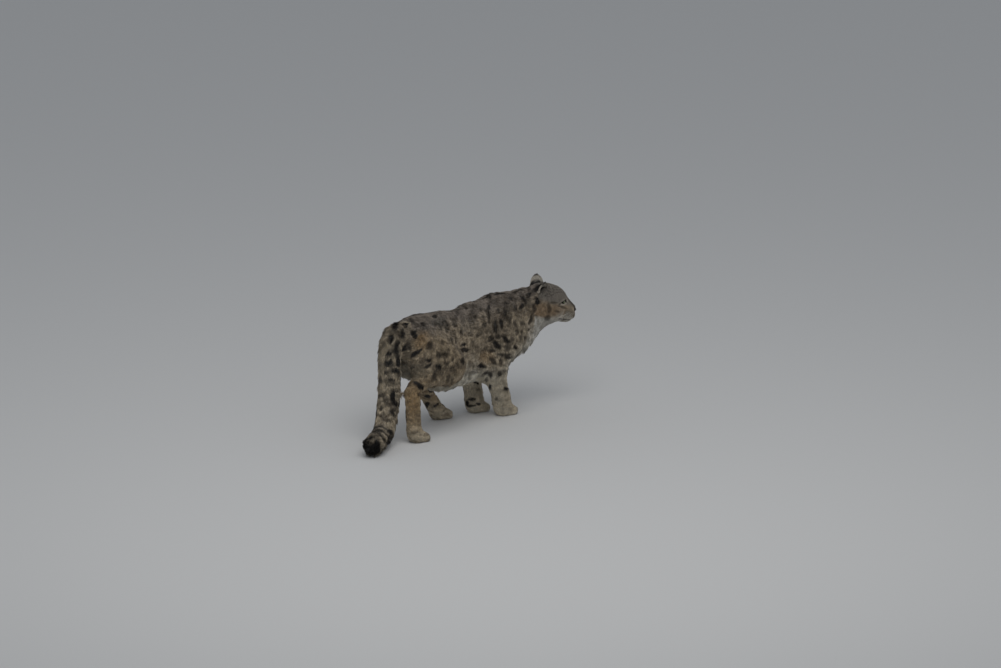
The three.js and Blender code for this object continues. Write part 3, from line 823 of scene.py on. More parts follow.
class Kind(Enum):
    """How a mark is drawn."""

    SPOT = "spot"
    RING = "ring"
    TINT = "tint"


@dataclass
class Mark:
    """One spot, broken ring or tint on the coat."""

    centre: np.ndarray
    axes: np.ndarray
    kind: Kind
    strength: float
    seed: int
    colour: str = "dark"

    def cover(self, points: np.ndarray) -> np.ndarray:
        """How far the mark covers each point, from 0 to 1."""
        u, v, w = np.linalg.solve(self.axes, (points - self.centre).T)
        turn = np.arctan2(v, u)
        rng = np.random.default_rng(self.seed)
        waves = rng.uniform(0, 2 * math.pi, 3)
        wobble = 0.13 * np.sin(2 * turn + waves[0]) + 0.10 * np.sin(3 * turn + waves[1])
        wobble += 0.07 * np.sin(5 * turn + waves[2])
        reach = np.sqrt(u * u + v * v + (0.6 * w) ** 2) * (1 + wobble * (self.kind is not Kind.TINT))
        if self.kind is Kind.TINT:
            return self.strength * smooth(1.25, 0.35, reach)
        soft = 0.22 + 0.3 * (1 - self.strength)
        if self.kind is Kind.SPOT:
            return self.strength * smooth(1 + soft, 1 - soft, reach)
        band = smooth(0.38, 0.62, reach) * smooth(1 + soft, 1 - soft * 0.6, reach)
        gaps = smooth(-0.75, 0.1, np.sin(2 * turn + waves[0]) + 0.8 * np.sin(3 * turn + waves[2]))
        return self.strength * np.maximum(band * gaps, 0.28 * smooth(0.8, 0.4, reach))


class Seen(NamedTuple):
    """A mark on the animal's right side as seen in the photograph.

    It was noted as the pixel at its middle, its length and width in pixels, its turn from
    level in degrees and its strength. It is laid on the skin where its pixel's line of sight meets it.
    """

    x: float
    y: float
    length: float
    width: float
    turn: float
    strength: float
    colour: str = "dark"


# Each row holds the values of one Seen mark.
SPOTS = (
    (395.5, 326, 11, 4.8, 41, 1), (406, 325.5, 6, 5, 65, 1), (402, 334, 9, 5.5, 85, 0.95),
    (414, 334.5, 9, 6, 113, 0.95), (391, 339, 10.5, 5, 68, 1), (388.7, 354, 6, 5.5, 0, 1),
    (388.3, 362.5, 8, 7, 80, 1), (386.5, 372.5, 5, 4.5, 0, 0.7), (397.5, 361.5, 11, 4.5, 88, 0.9),
    (402.5, 361.5, 6, 4.5, -20, 0.65), (395, 370.5, 8, 6, 10, 0.85), (400.5, 376, 7, 4, 110, 0.8),
    (391.5, 380, 6, 4.5, -15, 0.85), (399, 385, 8, 3, 0, 0.8), (381.3, 380, 7, 3.5, 88, 0.6),
    (387.5, 385.5, 5, 2, 0, 0.4), (381, 395.5, 7, 3.5, 50, 0.7), (382.5, 339, 9, 2.5, 60, 0.35),
    (392.3, 395.5, 11, 5.5, 85, 1), (394.5, 403, 9, 4.5, -38, 1), (396.5, 391, 6, 2.2, 0, 0.5),
    (402.5, 401.5, 5, 4, 90, 0.5), (381.5, 408.5, 4, 3, 60, 0.7), (394, 415.5, 5, 3, -15, 0.9),
    (391.5, 411.5, 6, 4, 30, 0.8), (401, 417, 5, 3.5, 100, 0.8), (389.5, 421.5, 6, 1.8, 0, 0.6),
    (398, 424, 11, 3.4, -25, 0.75), (389.5, 432, 6, 4.2, -30, 0.85), (397, 431, 4, 3.5, 0, 0.85),
    (395, 437, 9, 8, 0, 0.5), (388, 441.5, 9, 8, 0, 0.8), (409.5, 345, 9, 3.5, 112, 0.6),
    (416, 353, 15, 4, 40, 0.95), (429, 346, 8, 6, 112, 0.6), (428.5, 359.8, 5, 4.5, 0, 0.95),
    (427.5, 365.5, 8, 4, 28, 0.95), (438.5, 366.5, 6.5, 5.5, 60, 0.95), (437.7, 354.5, 8, 4, 92, 0.6),
    (444, 353.8, 5, 4, 0, 0.5), (445.5, 363.5, 5, 4.5, 0, 0.6), (434, 376.5, 8, 5.5, 80, 0.65),
    (426, 376.5, 4, 3, 0, 0.35), (412.5, 367, 4, 3, 0, 0.5), (441.7, 389, 13, 4, 88, 1),
    (447.7, 391.5, 7, 3, 62, 0.6), (419.5, 386, 11, 6, -35, 1), (430, 390.5, 4.5, 3, -30, 0.9),
    (427.5, 396, 5.5, 4, -20, 1), (427, 404.5, 6, 3.6, 88, 1), (418.5, 394, 4, 3, 90, 0.6),
    (436, 405, 7, 2.5, 45, 0.8), (422.5, 324.5, 5, 4, 0, 0.6), (434.5, 317, 5, 4, 20, 0.8),
    (412, 321.5, 6, 5, 120, 0.6), (423, 314.5, 17, 3.6, 33, 0.7), (435, 324, 6, 3, 100, 0.4),
    (446.5, 331, 6, 3, 90, 0.5), (450.5, 312, 4.5, 3, 0, 0.5), (457.5, 313.5, 5, 3, 90, 0.4),
    (461, 332.5, 7, 3.2, 95, 0.6), (462.8, 344.6, 6, 3.2, 5, 0.85), (464, 349.8, 10, 4.4, -4, 0.8),
    (454, 352, 4, 3, 0, 0.4), (452, 359, 7, 3, 90, 0.4), (462, 361, 7, 4, 100, 0.75),
    (452.5, 369, 7, 3.5, 100, 0.5), (446, 369, 5, 4, 90, 0.45), (447.5, 378.5, 8, 3.6, 90, 0.5),
    (451.5, 381.5, 9, 2.8, 95, 0.6), (454, 325.5, 6, 3.6, 0, 0.6), (448, 350, 5, 3, 90, 0.35),
    (442, 343, 5, 4, 90, 0.3), (454, 304.3, 15, 2.4, 6, 0.7), (485, 298.6, 11, 3, 30, 0.8),
    (490, 297.5, 4.5, 4, 0, 0.8), (500, 294.4, 13, 2.6, 12, 0.8), (508, 291.5, 5, 2.6, 10, 0.8),
    (465.5, 308.5, 4.5, 3, 0, 0.5), (475, 317.5, 5, 4, 90, 0.45), (488.5, 308, 5.5, 3, 95, 0.75),
    (488.5, 315, 8, 3, 92, 0.5), (480.5, 309.5, 4, 3, 90, 0.4), (498, 311.5, 5, 4, 110, 0.7),
    (504.5, 312.5, 9, 3, 98, 0.6), (482.5, 318.5, 6, 3, 90, 0.4), (484, 325, 5, 3, 90, 0.4),
    (488.5, 321, 6, 3, 90, 0.5), (494.8, 327, 13, 4.4, 94, 0.75), (501, 324, 10, 3.6, 92, 0.8),
    (509, 322, 7, 3, 95, 0.4), (514.5, 323, 7, 3, 90, 0.5), (515, 308, 5, 4.2, 90, 0.6),
    (506, 303.5, 5.5, 2.4, 0, 0.7), (510, 299, 6, 3, -42, 0.6), (515.5, 301, 4.5, 3, 90, 0.4),
    (521, 306.5, 8, 3.6, 50, 0.8), (523.5, 300, 9, 4, -52, 0.8), (522, 323.5, 5, 4.5, 0, 0.6),
    (516.5, 332, 6, 3.6, 100, 0.5), (521, 331.5, 5, 3, 90, 0.5), (527.5, 329, 3.6, 3, 0, 0.7),
    (477.5, 335, 4.6, 4, 0, 0.6), (470, 334, 5.5, 5, 0, 0.35), (490.5, 338.5, 6, 5, 0, 0.75),
    (505.5, 339.5, 9, 5.5, -50, 0.85), (498, 337, 5, 4, 0, 0.55), (496.5, 345, 11.5, 6, -57, 0.85),
    (492, 350.5, 7, 3.2, 5, 0.7), (485, 348.5, 5, 3.6, 0, 0.45), (506, 347, 5.5, 4, 0, 0.3),
    (504.5, 354.6, 16, 3.2, 4, 0.75), (508, 357.5, 9, 3, 0, 0.8), (514, 359, 5.6, 5, 0, 0.85),
    (515.3, 347.3, 4.4, 4, 0, 0.85), (522.3, 349, 6.5, 3, 98, 0.6), (523.8, 337.5, 4.6, 3, 110, 0.7),
    (519.5, 338, 6, 2.6, 90, 0.35), (512.5, 339, 5.5, 3, 90, 0.4), (481.6, 365.4, 9, 4.8, 0, 0.95),
    (492.5, 360.3, 10, 4.6, -40, 0.7), (500, 361.5, 6.5, 3.2, 90, 0.7), (472.5, 372, 8.5, 3, 8, 0.45),
    (485.5, 372.3, 6, 3.6, 25, 0.75), (490, 374, 8, 4, -58, 0.75), (499, 373, 7.5, 4, 90, 0.75),
    (503.5, 371, 4.4, 4, 0, 0.5), (476.3, 380.8, 6, 5, -10, 0.9), (486.5, 379, 5.5, 2.8, 90, 0.45),
    (490, 387, 5.6, 3, 80, 0.85), (483, 395.5, 8, 3.8, -52, 0.9), (506, 388.8, 5.6, 4.8, 0, 1),
    (496.5, 398.5, 4.5, 3, 90, 0.4), (467.2, 403, 5.5, 3.6, 90, 0.9), (472, 399.2, 9, 3, 5, 0.85),
    (471, 405.8, 10, 2.6, 0, 0.75), (478.5, 404, 4.6, 3, 0, 0.8), (478, 389.5, 4.4, 3, 0, 0.35),
    (528.5, 295.5, 5.5, 4.4, 60, 0.9), (529, 289.5, 6, 3, 90, 0.6), (516.5, 292.5, 4.6, 3, 30, 0.6),
    (520, 290.5, 4, 3.4, 0, 0.7), (514, 289.6, 4.6, 2.6, 20, 0.5), (533.5, 308.5, 10, 4.2, 92, 0.55),
    (549, 308.5, 11, 4, 90, 0.45), (531.5, 315.5, 6, 3.4, 60, 0.5), (530, 320.5, 5, 4, 0, 0.7),
    (553.5, 302.6, 8, 2.4, 3, 0.3), (562, 307, 9, 2.4, -15, 0.4), (557, 311.5, 6, 2.2, -5, 0.3),
    (547.5, 317.5, 6, 5, 0, 0.4), (537, 301, 9, 5, 95, 0.9),
)
RINGS = (
    (399.5, 347.5, 14, 10, 70, 0.85), (444.5, 324.5, 9, 7, 90, 0.55), (453, 340, 14, 6.5, 90, 0.5),
    (459, 363, 10, 8.5, 90, 0.5), (393.5, 412.5, 10, 7, 30, 0.5), (472, 325, 11, 8, 90, 0.3),
    (484, 331, 10, 9, 60, 0.3), (508, 315, 10, 7, 95, 0.35),
)
TINTS = (
    # The second tint on this line, on the back of the near thigh, is painted shade.
    (421, 341, 24, 19, 60, 0.5, "ochre"), (417, 373, 24, 18, 20, 0.55, "painted_thigh_shade"),
    (498, 329, 46, 30, 80, 0.55, "umber"), (506, 300, 22, 12, 20, 0.4, "umber"),
    (541, 311, 24, 18, 0, 0.55, "rust"), (556, 310, 18, 14, 0, 0.35, "rust"),
    (486, 357, 16, 19, 90, 0.4, "ochre"), (413, 402, 14, 34, 0, 0.5, "ochre"),
    (468, 326, 20, 18, 0, 0.3, "slate"), (436, 322, 24, 10, 20, 0.3, "slate"),
    (524, 306, 22, 26, 60, 0.4, "umber"), (404, 332, 22, 30, 60, 0.45, "umber"),
)
TONES = {name: linear(code) for name, code in {
    # marks and tints
    # 5d5645 is painted shade on the back of the near thigh.
    "dark": "17110c", "ochre": "b08c58", "painted_thigh_shade": "5d5645", "umber": "564a3c", "rust": "8f6b42",
    "slate": "6d6961",
    # body
    "grey": "81766a", "beige": "a3937b", "pale": "d3cbba", "tan": "ae946c", "sand": "ae9f86",
    # 2b211a is painted shade in the grooves between the toes.
    # 2b231c is patchy painted shade on the trunk's sides and underside.
    "cream": "c6b9a0", "mottle": "5d4c38", "chest": "d6cfc1", "painted_under_shade": "2b231c", "toe_groove": "2b211a",
    "tail_band": "16130f",
    # head
    # 857a69 is the muzzle's own beige darkened by painted shade.
    "crown": "857d72", "cheek": "9a8468", "chin": "cfcabf", "muzzle": "857a69", "upper_lip": "bdb5a6",
    # 5c544a is painted shade down the bridge of the nose.
    "painted_bridge_shade": "5c544a", "whisker_root": "3a3029", "lip": "1a1613", "philtrum": "231b17",
    # 0c0a09 is painted shade in the sunken seam round the nose leather.
    "under_nose": "0c0a09", "lid_fur": "cdc4b4", "lid_rim": "14100d", "tear_line": "241c16",
    "ear_back": "15120f", "ear_patch": "8b8478", "ear_cup": "b3ab9d", "ear_edge": "2a241f",
    "ear_root": "17130f",
    # eyes, nose, lips and whiskers
    "iris_outer": "59634a", "iris_inner": "a8b08c", "iris_rim": "23271c", "eye_white": "1c1512",
    # 0a0808 is painted shade in the nostrils.
    "pupil": "030303", "leather": "4a3833", "leather_side": "211a18", "nostril": "0a0808",
    "lip_edge": "1b1614", "whisker": "e6e2d8",
}.items()}


@dataclass
class Markings:
    """The coat's colours: a base by region and height, then tints, spots and rings."""

    skin: bpy.types.Object
    solids: Solids
    camera: Camera
    shift: np.ndarray
    marks: list[Mark] = field(default_factory=list)
    least_depth: float = 0.018
    tries: int = 9000
    spacing: float = 1.15
    seen_from: float = 0.12
    leg_top: float = 0.22
    midline_gap: float = 0.03
    tail_from: float = 0.35
    crown_rows: int = 11
    crown_columns: int = 5

    def plan(self) -> None:
        """Lays the seen marks, mirrors those of the trunk and head, and fills what isn't seen."""
        mesh = self.skin.data
        places, normals = points_of(mesh), normals_of(mesh)
        self.tree = tree_of(places, triangles_of(mesh))
        for rows, kind in ((SPOTS, Kind.SPOT), (RINGS, Kind.RING), (TINTS, Kind.TINT)):
            for row in rows:
                self.lay(Seen(*row), kind)
        seen = len(self.marks)
        self.mirror()
        self.crown()
        self.fill(places, normals)
        LOG.info("markings: %d seen, %d in all", seen, len(self.marks))

    def lay(self, seen: Seen, kind: Kind) -> None:
        """Puts one seen mark on the skin where its pixel's ray meets it."""
        way = self.camera.ray(seen.x, seen.y)
        hit, normal, _, _ = self.tree.ray_cast(Vector(self.camera.place), Vector(way))
        if hit is None:
            return
        normal = unit(np.array(normal))
        lean = max(float(-normal @ way), 0.42)
        angle = math.radians(seen.turn)
        along = self.camera.right * math.cos(angle) + self.camera.up * math.sin(angle)
        over = -self.camera.right * math.sin(angle) + self.camera.up * math.cos(angle)
        axes = []
        for screen, size in ((along, seen.length), (over, seen.width)):
            step = screen * size / 2 * self.camera.metres_a_pixel
            axes.append(step + way * (step @ normal) / lean)
        deep = max(seen.length, seen.width) / 2 * self.camera.metres_a_pixel
        matrix = np.array([*axes, normal * max(deep, self.least_depth)]).T
        strength = seen.strength if kind is Kind.TINT else min(1.0, 0.3 + 0.8 * seen.strength)
        seed = int(seen.x * 7 + seen.y * 13)
        self.marks.append(Mark(np.array(hit), matrix, kind, strength, seed, seen.colour))

    def mirror(self) -> None:
        """Copies the marks of trunk and head to the other side, each a little off."""
        rng = np.random.default_rng(5)
        middle = self.shift[1]
        flip = np.diag([1.0, -1.0, 1.0])
        turn = HEAD.turn()
        for mark in list(self.marks):
            local = HEAD.local(mark.centre[None])[0]
            on_head = local[0] > -95 and mark.centre[2] > HEAD_LOW
            if on_head:
                if local[1] > 0:
                    continue
                centre = HEAD.world((local * (1, -1, 1))[None])[0]
                axes = turn @ flip @ turn.T @ mark.axes
            else:
                x, y, z = mark.centre
                if z < self.leg_top or y > middle - self.midline_gap or x < self.shift[0] - self.tail_from:
                    continue
                centre = mark.centre * (1, -1, 1) + (0, 2 * middle, 0)
                centre += rng.normal(0, 0.006, 3)
                axes = flip @ mark.axes
            hit, normal, _, gap = self.tree.find_nearest(Vector(centre))
            if gap > 0.035:
                continue
            if not on_head and mark.kind is not Kind.TINT:
                swing, way = rng.normal(0, 0.25), unit(np.array(normal))
                axes = self.spin(way, swing) @ axes * rng.uniform(0.85, 1.15)
            seed = mark.seed + 1
            self.marks.append(Mark(np.array(hit), axes, mark.kind, mark.strength, seed, mark.colour))

    def crown(self) -> None:
        """Rows of small spots over forehead and crown, alike on both sides."""
        rng = np.random.default_rng(17)
        middle = np.array([-10.0, 0.0, 10.0])
        turn = HEAD.turn()
        for row in range(self.crown_rows):
            for column in range(self.crown_columns):
                rise = math.radians(40 + 10.5 * row + rng.normal(0, 1.5))
                out = math.radians(5 + 11.5 * column + 5.5 * (row % 2) + rng.normal(0, 1.5))
                size = rng.uniform(2.2, 3.6)
                if out > math.radians(22 + 6 * row):
                    continue
                for side in SIDES:
                    way = np.array([math.cos(rise) * math.cos(out), side * math.sin(out),
                                    math.sin(rise) * math.cos(out)])
                    start = HEAD.world((middle + 200 * way)[None])[0]
                    hit, normal, _, _ = self.tree.ray_cast(Vector(start), Vector(-(turn @ way)))
                    if hit is None:
                        continue
                    normal = unit(np.array(normal))
                    back = turn @ np.array([-math.sin(rise), side * 0.25, math.cos(rise)])
                    along = unit(back - normal * (back @ normal))
                    over = np.cross(normal, along)
                    axes = np.array([along * size * 1.5, over * size, normal * 14]).T * MM
                    self.marks.append(Mark(np.array(hit), axes, Kind.SPOT, 0.6, 40 * row + column))

    @staticmethod
    def spin(way: np.ndarray, angle: float) -> np.ndarray:
        """The matrix that turns about way by angle."""
        c, s = math.cos(angle), math.sin(angle)
        cross = np.array([[0, -way[2], way[1]], [way[2], 0, -way[0]], [-way[1], way[0], 0]])
        return np.eye(3) * c + cross * s + np.outer(way, way) * (1 - c)

    def fill(self, places: np.ndarray, normals: np.ndarray) -> None:
        """Spreads marks evenly where the camera sees none, by the region's own kind."""
        rng = np.random.default_rng(11)
        order = rng.permutation(len(places))[: self.tries]
        owners = self.solids.owners_of(places[order])
        dark = [m for m in self.marks if m.kind is not Kind.TINT]
        centres = [m.centre for m in dark]
        reaches = [float(np.linalg.norm(m.axes[:, :2], axis=0).mean()) for m in dark]
        line = TailLine().line(self.shift)
        for index, owner in zip(order, owners):
            place, normal = places[index], normals[index]
            region = region_of(self.solids.names[owner])
            if region is Region.EAR or (place[2] < 0.03 and region is not Region.TAIL):
                continue
            way = self.camera.place - place
            seen = normal @ unit(way) > self.seen_from
            if seen and self.tree.ray_cast(Vector(place + normal * 0.004), Vector(unit(way)))[0] is None:
                continue
            size, aspect, kind, strength = self.fill_size(region, place, normal, rng)
            if size == 0:
                continue
            gap = np.linalg.norm(np.array(centres) - place, axis=1) - np.array(reaches)
            if gap.min() < size * self.spacing:
                continue
            lie = self.lie_of(region, place, line)
            along = unit(lie - normal * (lie @ normal))
            over = np.cross(normal, along)
            deep = max(size, self.least_depth)
            axes = np.array([along * size * aspect, over * size, normal * deep]).T
            axes = self.spin(normal, rng.normal(0, 0.3)) @ axes
            self.marks.append(Mark(place, axes, kind, strength, int(index)))
            centres.append(place)
            reaches.append(size * (1 + aspect) / 2)

    @staticmethod
    def fill_size(region: Region, place: np.ndarray, normal: np.ndarray,
                  rng: np.random.Generator) -> tuple[float, float, Kind, float]:
        """Half width in metres, length to width, kind and strength of a mark to fill with."""
        if region is Region.HEAD:
            return 0, 1, Kind.SPOT, 0
        if region is Region.NECK:
            if normal[2] < -0.25:
                return 0, 1, Kind.SPOT, 0
            return rng.uniform(0.006, 0.011), 1.4, Kind.SPOT, 0.75
        if region is Region.TORSO:
            if normal[2] < -0.5:
                return rng.uniform(0.008, 0.014), 1.3, Kind.SPOT, 0.4
            if normal[2] > 0.9:
                return rng.uniform(0.008, 0.011), 2.4, Kind.SPOT, 0.8
            ring = rng.random() < 0.55
            size = rng.uniform(0.019, 0.027) if ring else rng.uniform(0.008, 0.013)
            return size, 1.35, Kind.RING if ring else Kind.SPOT, 0.6
        if region is Region.TAIL:
            return rng.uniform(0.013, 0.019), 1.1, Kind.SPOT, 0.9
        if region in (Region.THIGH, Region.SHOULDER):
            return rng.uniform(0.009, 0.014), 1.3, Kind.SPOT, 0.8
        if region in (Region.FRONT_PAW, Region.HIND_PAW):
            return rng.uniform(0.003, 0.005), 1.2, Kind.SPOT, 0.6
        return rng.uniform(0.006, 0.0105), 1.25, Kind.SPOT, 0.85

    @staticmethod
    def lie_of(region: Region, place: np.ndarray, line: np.ndarray) -> np.ndarray:
        """The way the coat lies at a place."""
        if region is Region.TAIL:
            near = int(np.argmin(np.linalg.norm(line - place, axis=1)))
            return unit(line[min(near + 1, len(line) - 1)] - line[max(near - 1, 0)])
        if region is Region.HEAD:
            return unit(place - HEAD.world(np.array([[HEAD.nose_tip, 0, 0]]))[0])
        return unit(np.array(PELTS[region].lie))

    def colours(self, points: np.ndarray, normals: np.ndarray, regions: np.ndarray) -> np.ndarray:
        """The coat's colour at each point.

        Args:
            points: places on or over the skin.
            normals: the skin's normals there.
            regions: the index of each point's region.

        Returns:
            Linear colours, one a point.
        """
        colour = self.base(points, normals, regions)
        for mark in self.marks:
            if mark.kind is Kind.TINT:
                self.lay_over(colour, points, mark)
        self.face(colour, points)
        for mark in self.marks:
            if mark.kind is not Kind.TINT:
                self.lay_over(colour, points, mark)
        self.tail_end(colour, points, regions)
        return colour

    @staticmethod
    def lay_over(colour: np.ndarray, points: np.ndarray, mark: Mark) -> None:
        """Blends one mark over the colours near it."""
        reach = 1.5 * np.linalg.norm(mark.axes, axis=0).max()
        near = np.nonzero(((points - mark.centre) ** 2).sum(1) < reach * reach)[0]
        if len(near):
            cover = mark.cover(points[near])
            colour[near] = mix(colour[near], TONES[mark.colour], cover)

    def base(self, points: np.ndarray, normals: np.ndarray, regions: np.ndarray) -> np.ndarray:
        """Grey-beige above, paler below, tan on the legs, with patchy painted shade on the trunk's sides
        and underside and painted shade in the grooves between the toes.
        """
        low = smooth(0.42, 0.2, points[:, 2]) * smooth(0.15, -0.5, normals[:, 2])
        beige = np.tile(TONES["beige"], (len(points), 1))
        colour = mix(beige, TONES["grey"], smooth(0.35, 0.9, normals[:, 2]))
        colour = mix(colour, TONES["pale"], np.clip(low * 1.1, 0, 1))
        height = points[:, 2]
        hind = within(regions, Region.THIGH, Region.HOCK, Region.HIND_PAW)
        fore = within(regions, Region.SHOULDER, Region.FOREARM, Region.FRONT_PAW)
        colour = mix(colour, TONES["tan"], hind * (0.2 + 0.6 * smooth(0.32, 0.22, height)))
        colour = mix(colour, TONES["cream"], hind * 0.75 * smooth(0.12, 0.03, height))
        colour = mix(colour, TONES["cream"], fore * (0.15 + 0.6 * smooth(0.27, 0.15, height)))
        mottle = smooth(0.1, 1.1, Ripple(9, 0.024)(points)) * np.maximum(hind, 0.35 * fore)
        colour = mix(colour, TONES["mottle"], 0.5 * mottle * smooth(0.36, 0.26, height))
        colour = mix(colour, TONES["sand"], 0.7 * within(regions, Region.TAIL))
        chest = smooth(0.32, 0.43, points[:, 0] - self.shift[0] + 0.3 * (0.4 - points[:, 2]))
        front = within(regions, Region.NECK, Region.HEAD, Region.TORSO)
        front = np.maximum(front, 0.85 * smooth(0.45, 0.8, normals[:, 0]) * (height > 0.2) * fore)
        forward = 0.6 * normals[:, 0] - 0.8 * normals[:, 2]
        chest = chest * smooth(-0.2, 0.4, forward) * front
        colour = mix(colour, TONES["chest"], chest)
        trunk = within(regions, Region.TORSO, Region.NECK, Region.SHOULDER, Region.THIGH, Region.TAIL)
        # Patchy painted shade on the trunk's sides and underside, strongest where the skin faces down.
        painted_under_shade = smooth(0.3, 1.2, Ripple(7, 0.052)(points)) * smooth(-0.75, 0.1, normals[:, 2]) * trunk
        colour = mix(colour * 1.1, TONES["painted_under_shade"], 0.55 * painted_under_shade * (1 - chest))
        # Painted shade in the grooves between the toes.
        colour = mix(colour, TONES["toe_groove"], 0.6 * PAWS.groove(points))
        return colour * (1 + 0.10 * Ripple(3, 0.045)(points) + 0.07 * Ripple(4, 0.014)(points))[:, None]

    @classmethod
    def face(cls, colour: np.ndarray, points: np.ndarray) -> None:
        """Colours the head over the body's colours."""
        near = np.nonzero((points[:, 0] > HEAD_BACK) & (points[:, 2] > HEAD_LOW))[0]
        p = HEAD.local(points[near])
        tone = cls.muzzle_tones(p, colour[near])
        for side in SIDES:
            tone = cls.ear_tones(p, cls.eye_tones(p, tone, side), side)
        colour[near] = tone

    @staticmethod
    def muzzle_tones(p: np.ndarray, tone: np.ndarray) -> np.ndarray:
        """Grey crown, tan cheeks, pale chin, whisker rows and dark lips, with painted shade on the muzzle,
        down the bridge of the nose and round the nose.

        Args:
            p: points in the head's axes.
            tone: their colours so far.

        Returns:
            Their colours.
        """
        inside = smooth(-96, -84, p[:, 0])
        side = np.abs(p[:, 1])
        tone = mix(tone, TONES["crown"], inside * smooth(0, 30, p[:, 2]))
        cheek = smooth(30, 45, side) * smooth(40, 10, abs(p[:, 2] + 12))
        tone = mix(tone, TONES["cheek"], inside * 0.6 * cheek)
        tone = mix(tone, TONES["chin"], inside * smooth(-44, -66, p[:, 2]))
        # The muzzle's side: its own beige, darkened by painted shade.
        tone = mix(tone, TONES["muzzle"], smooth(54, 70, p[:, 0]) * smooth(6, -14, p[:, 2]))
        tone = mix(tone, TONES["upper_lip"], smooth(60, 80, p[:, 0]) * smooth(-24, -42, p[:, 2]))
        # Painted shade down the bridge of the nose.
        painted_bridge_shade = smooth(56, 78, p[:, 0]) * smooth(24, 10, side) * smooth(-6, 6, p[:, 2])
        tone = mix(tone, TONES["painted_bridge_shade"], painted_bridge_shade)
        pads = smooth(66, 78, p[:, 0]) * smooth(116, 104, p[:, 0]) * (side > 14)
        rows = np.abs(((p[:, 2] + 12) / 6.2 + 0.5) % 1 - 0.5) < 0.16
        dots = np.abs(((p[:, 0] + 2 * p[:, 2] / 6.2) / 7.5 + 0.5) % 1 - 0.5) < 0.2
        dots = dots * (p[:, 2] < -8) * (p[:, 2] > -36)
        tone = mix(tone, TONES["whisker_root"], 0.65 * pads * rows * dots)
        tone = mix(tone, TONES["lip"], 0.95 * Skin.lip_nearness(p, 3.2))
        corner = bell((p[:, 0] - 50) / 11, (p[:, 2] + 53) / 4.5) * (side > 20)
        tone = mix(tone, TONES["lip"], 0.6 * np.clip(corner * 1.2, 0, 1))
        parting = bell(p[:, 1] / 1.7) * smooth(-45, -40, p[:, 2]) * smooth(-14, -18, p[:, 2])
        tone = mix(tone, TONES["philtrum"], 0.8 * parting * (p[:, 0] > 96))
        # Near black on the sunken seam round the nose leather: painted shade.
        tone = mix(tone, TONES["under_nose"], smooth(1.12, 0.98, Face.nose_distance(p)))
        return tone

    @staticmethod
    def eye_tones(p: np.ndarray, tone: np.ndarray, side: int) -> np.ndarray:
        """Pale fur round one eye, its dark rim, tear line and streak."""
        away = p - HEAD.eye_centre(side)
        look, across, up = HEAD.gaze(side)
        u, v, w = away @ across, away @ up, away @ look
        rim = np.sqrt((u / 14.6) ** 2 + ((v - 0.4) / 7.4) ** 2)
        pale = smooth(2.5, 1.6, rim) * smooth(1.1, 1.4, rim) * (w > -4) * (0.35 + 0.65 * smooth(2, -6, v))
        tone = mix(tone, TONES["lid_fur"], 0.62 * pale)
        tone = mix(tone, TONES["lid_rim"], smooth(1.3, 1.05, rim) * (w > 2))
        tear = bell((u + side * 16.5) / 2.6, (v + 6) / 7) * (w > -8)
        tone = mix(tone, TONES["tear_line"], 0.8 * np.clip(1.4 * tear, 0, 1))
        streak = bell((v - 1.5 + 0.1 * np.abs(u)) / 3.2)
        streak = streak * smooth(12, 18, side * u) * smooth(44, 34, side * u)
        tone = mix(tone, TONES["tear_line"], 0.75 * streak * (w > -30))
        return tone

    @staticmethod
    def ear_tones(p: np.ndarray, tone: np.ndarray, side: int) -> np.ndarray:
        """One ear's dark back with a paler patch, its pale cup and its dark edge and root."""
        root = p - np.array(HEAD.ear_root) * (1, side, 1)
        rise, front, wide = HEAD.ear_axes(side) @ root.T
        near_ear = smooth(46, 34, np.abs(wide)) * smooth(46, 34, np.abs(front))
        back = near_ear * smooth(-6, 8, rise) * smooth(-7, -11, front + 0.2 * rise)
        tone = mix(tone, TONES["ear_back"], back)
        patch = back * bell(wide / 13, (rise - 26) / 11)
        tone = mix(tone, TONES["ear_patch"], np.clip(1.2 * patch, 0, 0.85))
        cup = near_ear * smooth(2, 12, rise) * (1 - smooth(-7, -11, front + 0.2 * rise))
        tone = mix(tone, TONES["ear_cup"], 0.85 * cup)
        tone = mix(tone, TONES["ear_edge"], 0.8 * near_ear * smooth(41, 49, rise))
        base = bell(wide / 27, rise / 15, (front + 25) / 17)
        tone = mix(tone, TONES["ear_root"], np.clip(1.5 * base, 0, 0.92))
        return tone

    def tail_end(self, colour: np.ndarray, points: np.ndarray, regions: np.ndarray) -> None:
        """Dark broken bands near the tail's end and a black tip."""
        here = np.nonzero(within(regions, Region.TAIL))[0]
        if not len(here):
            return
        line = TailLine().line(self.shift, 12)
        nearest = np.argmin(((points[here, None, :] - line[None]) ** 2).sum(2), 1)
        t = nearest / (len(line) - 1)
        t = t + 0.012 * Ripple(21, 0.05)(points[here])
        first = smooth(0.035, 0.022, abs(t - 0.80)) * 0.8
        second = smooth(0.035, 0.02, abs(t - 0.885)) * 0.9
        bands = np.maximum(first, second)
        broken = smooth(-0.9, -0.1, Ripple(22, 0.07)(points[here]))
        cover = np.maximum(bands * broken, smooth(0.945, 0.965, t))
        colour[here] = mix(colour[here], TONES["tail_band"], cover)


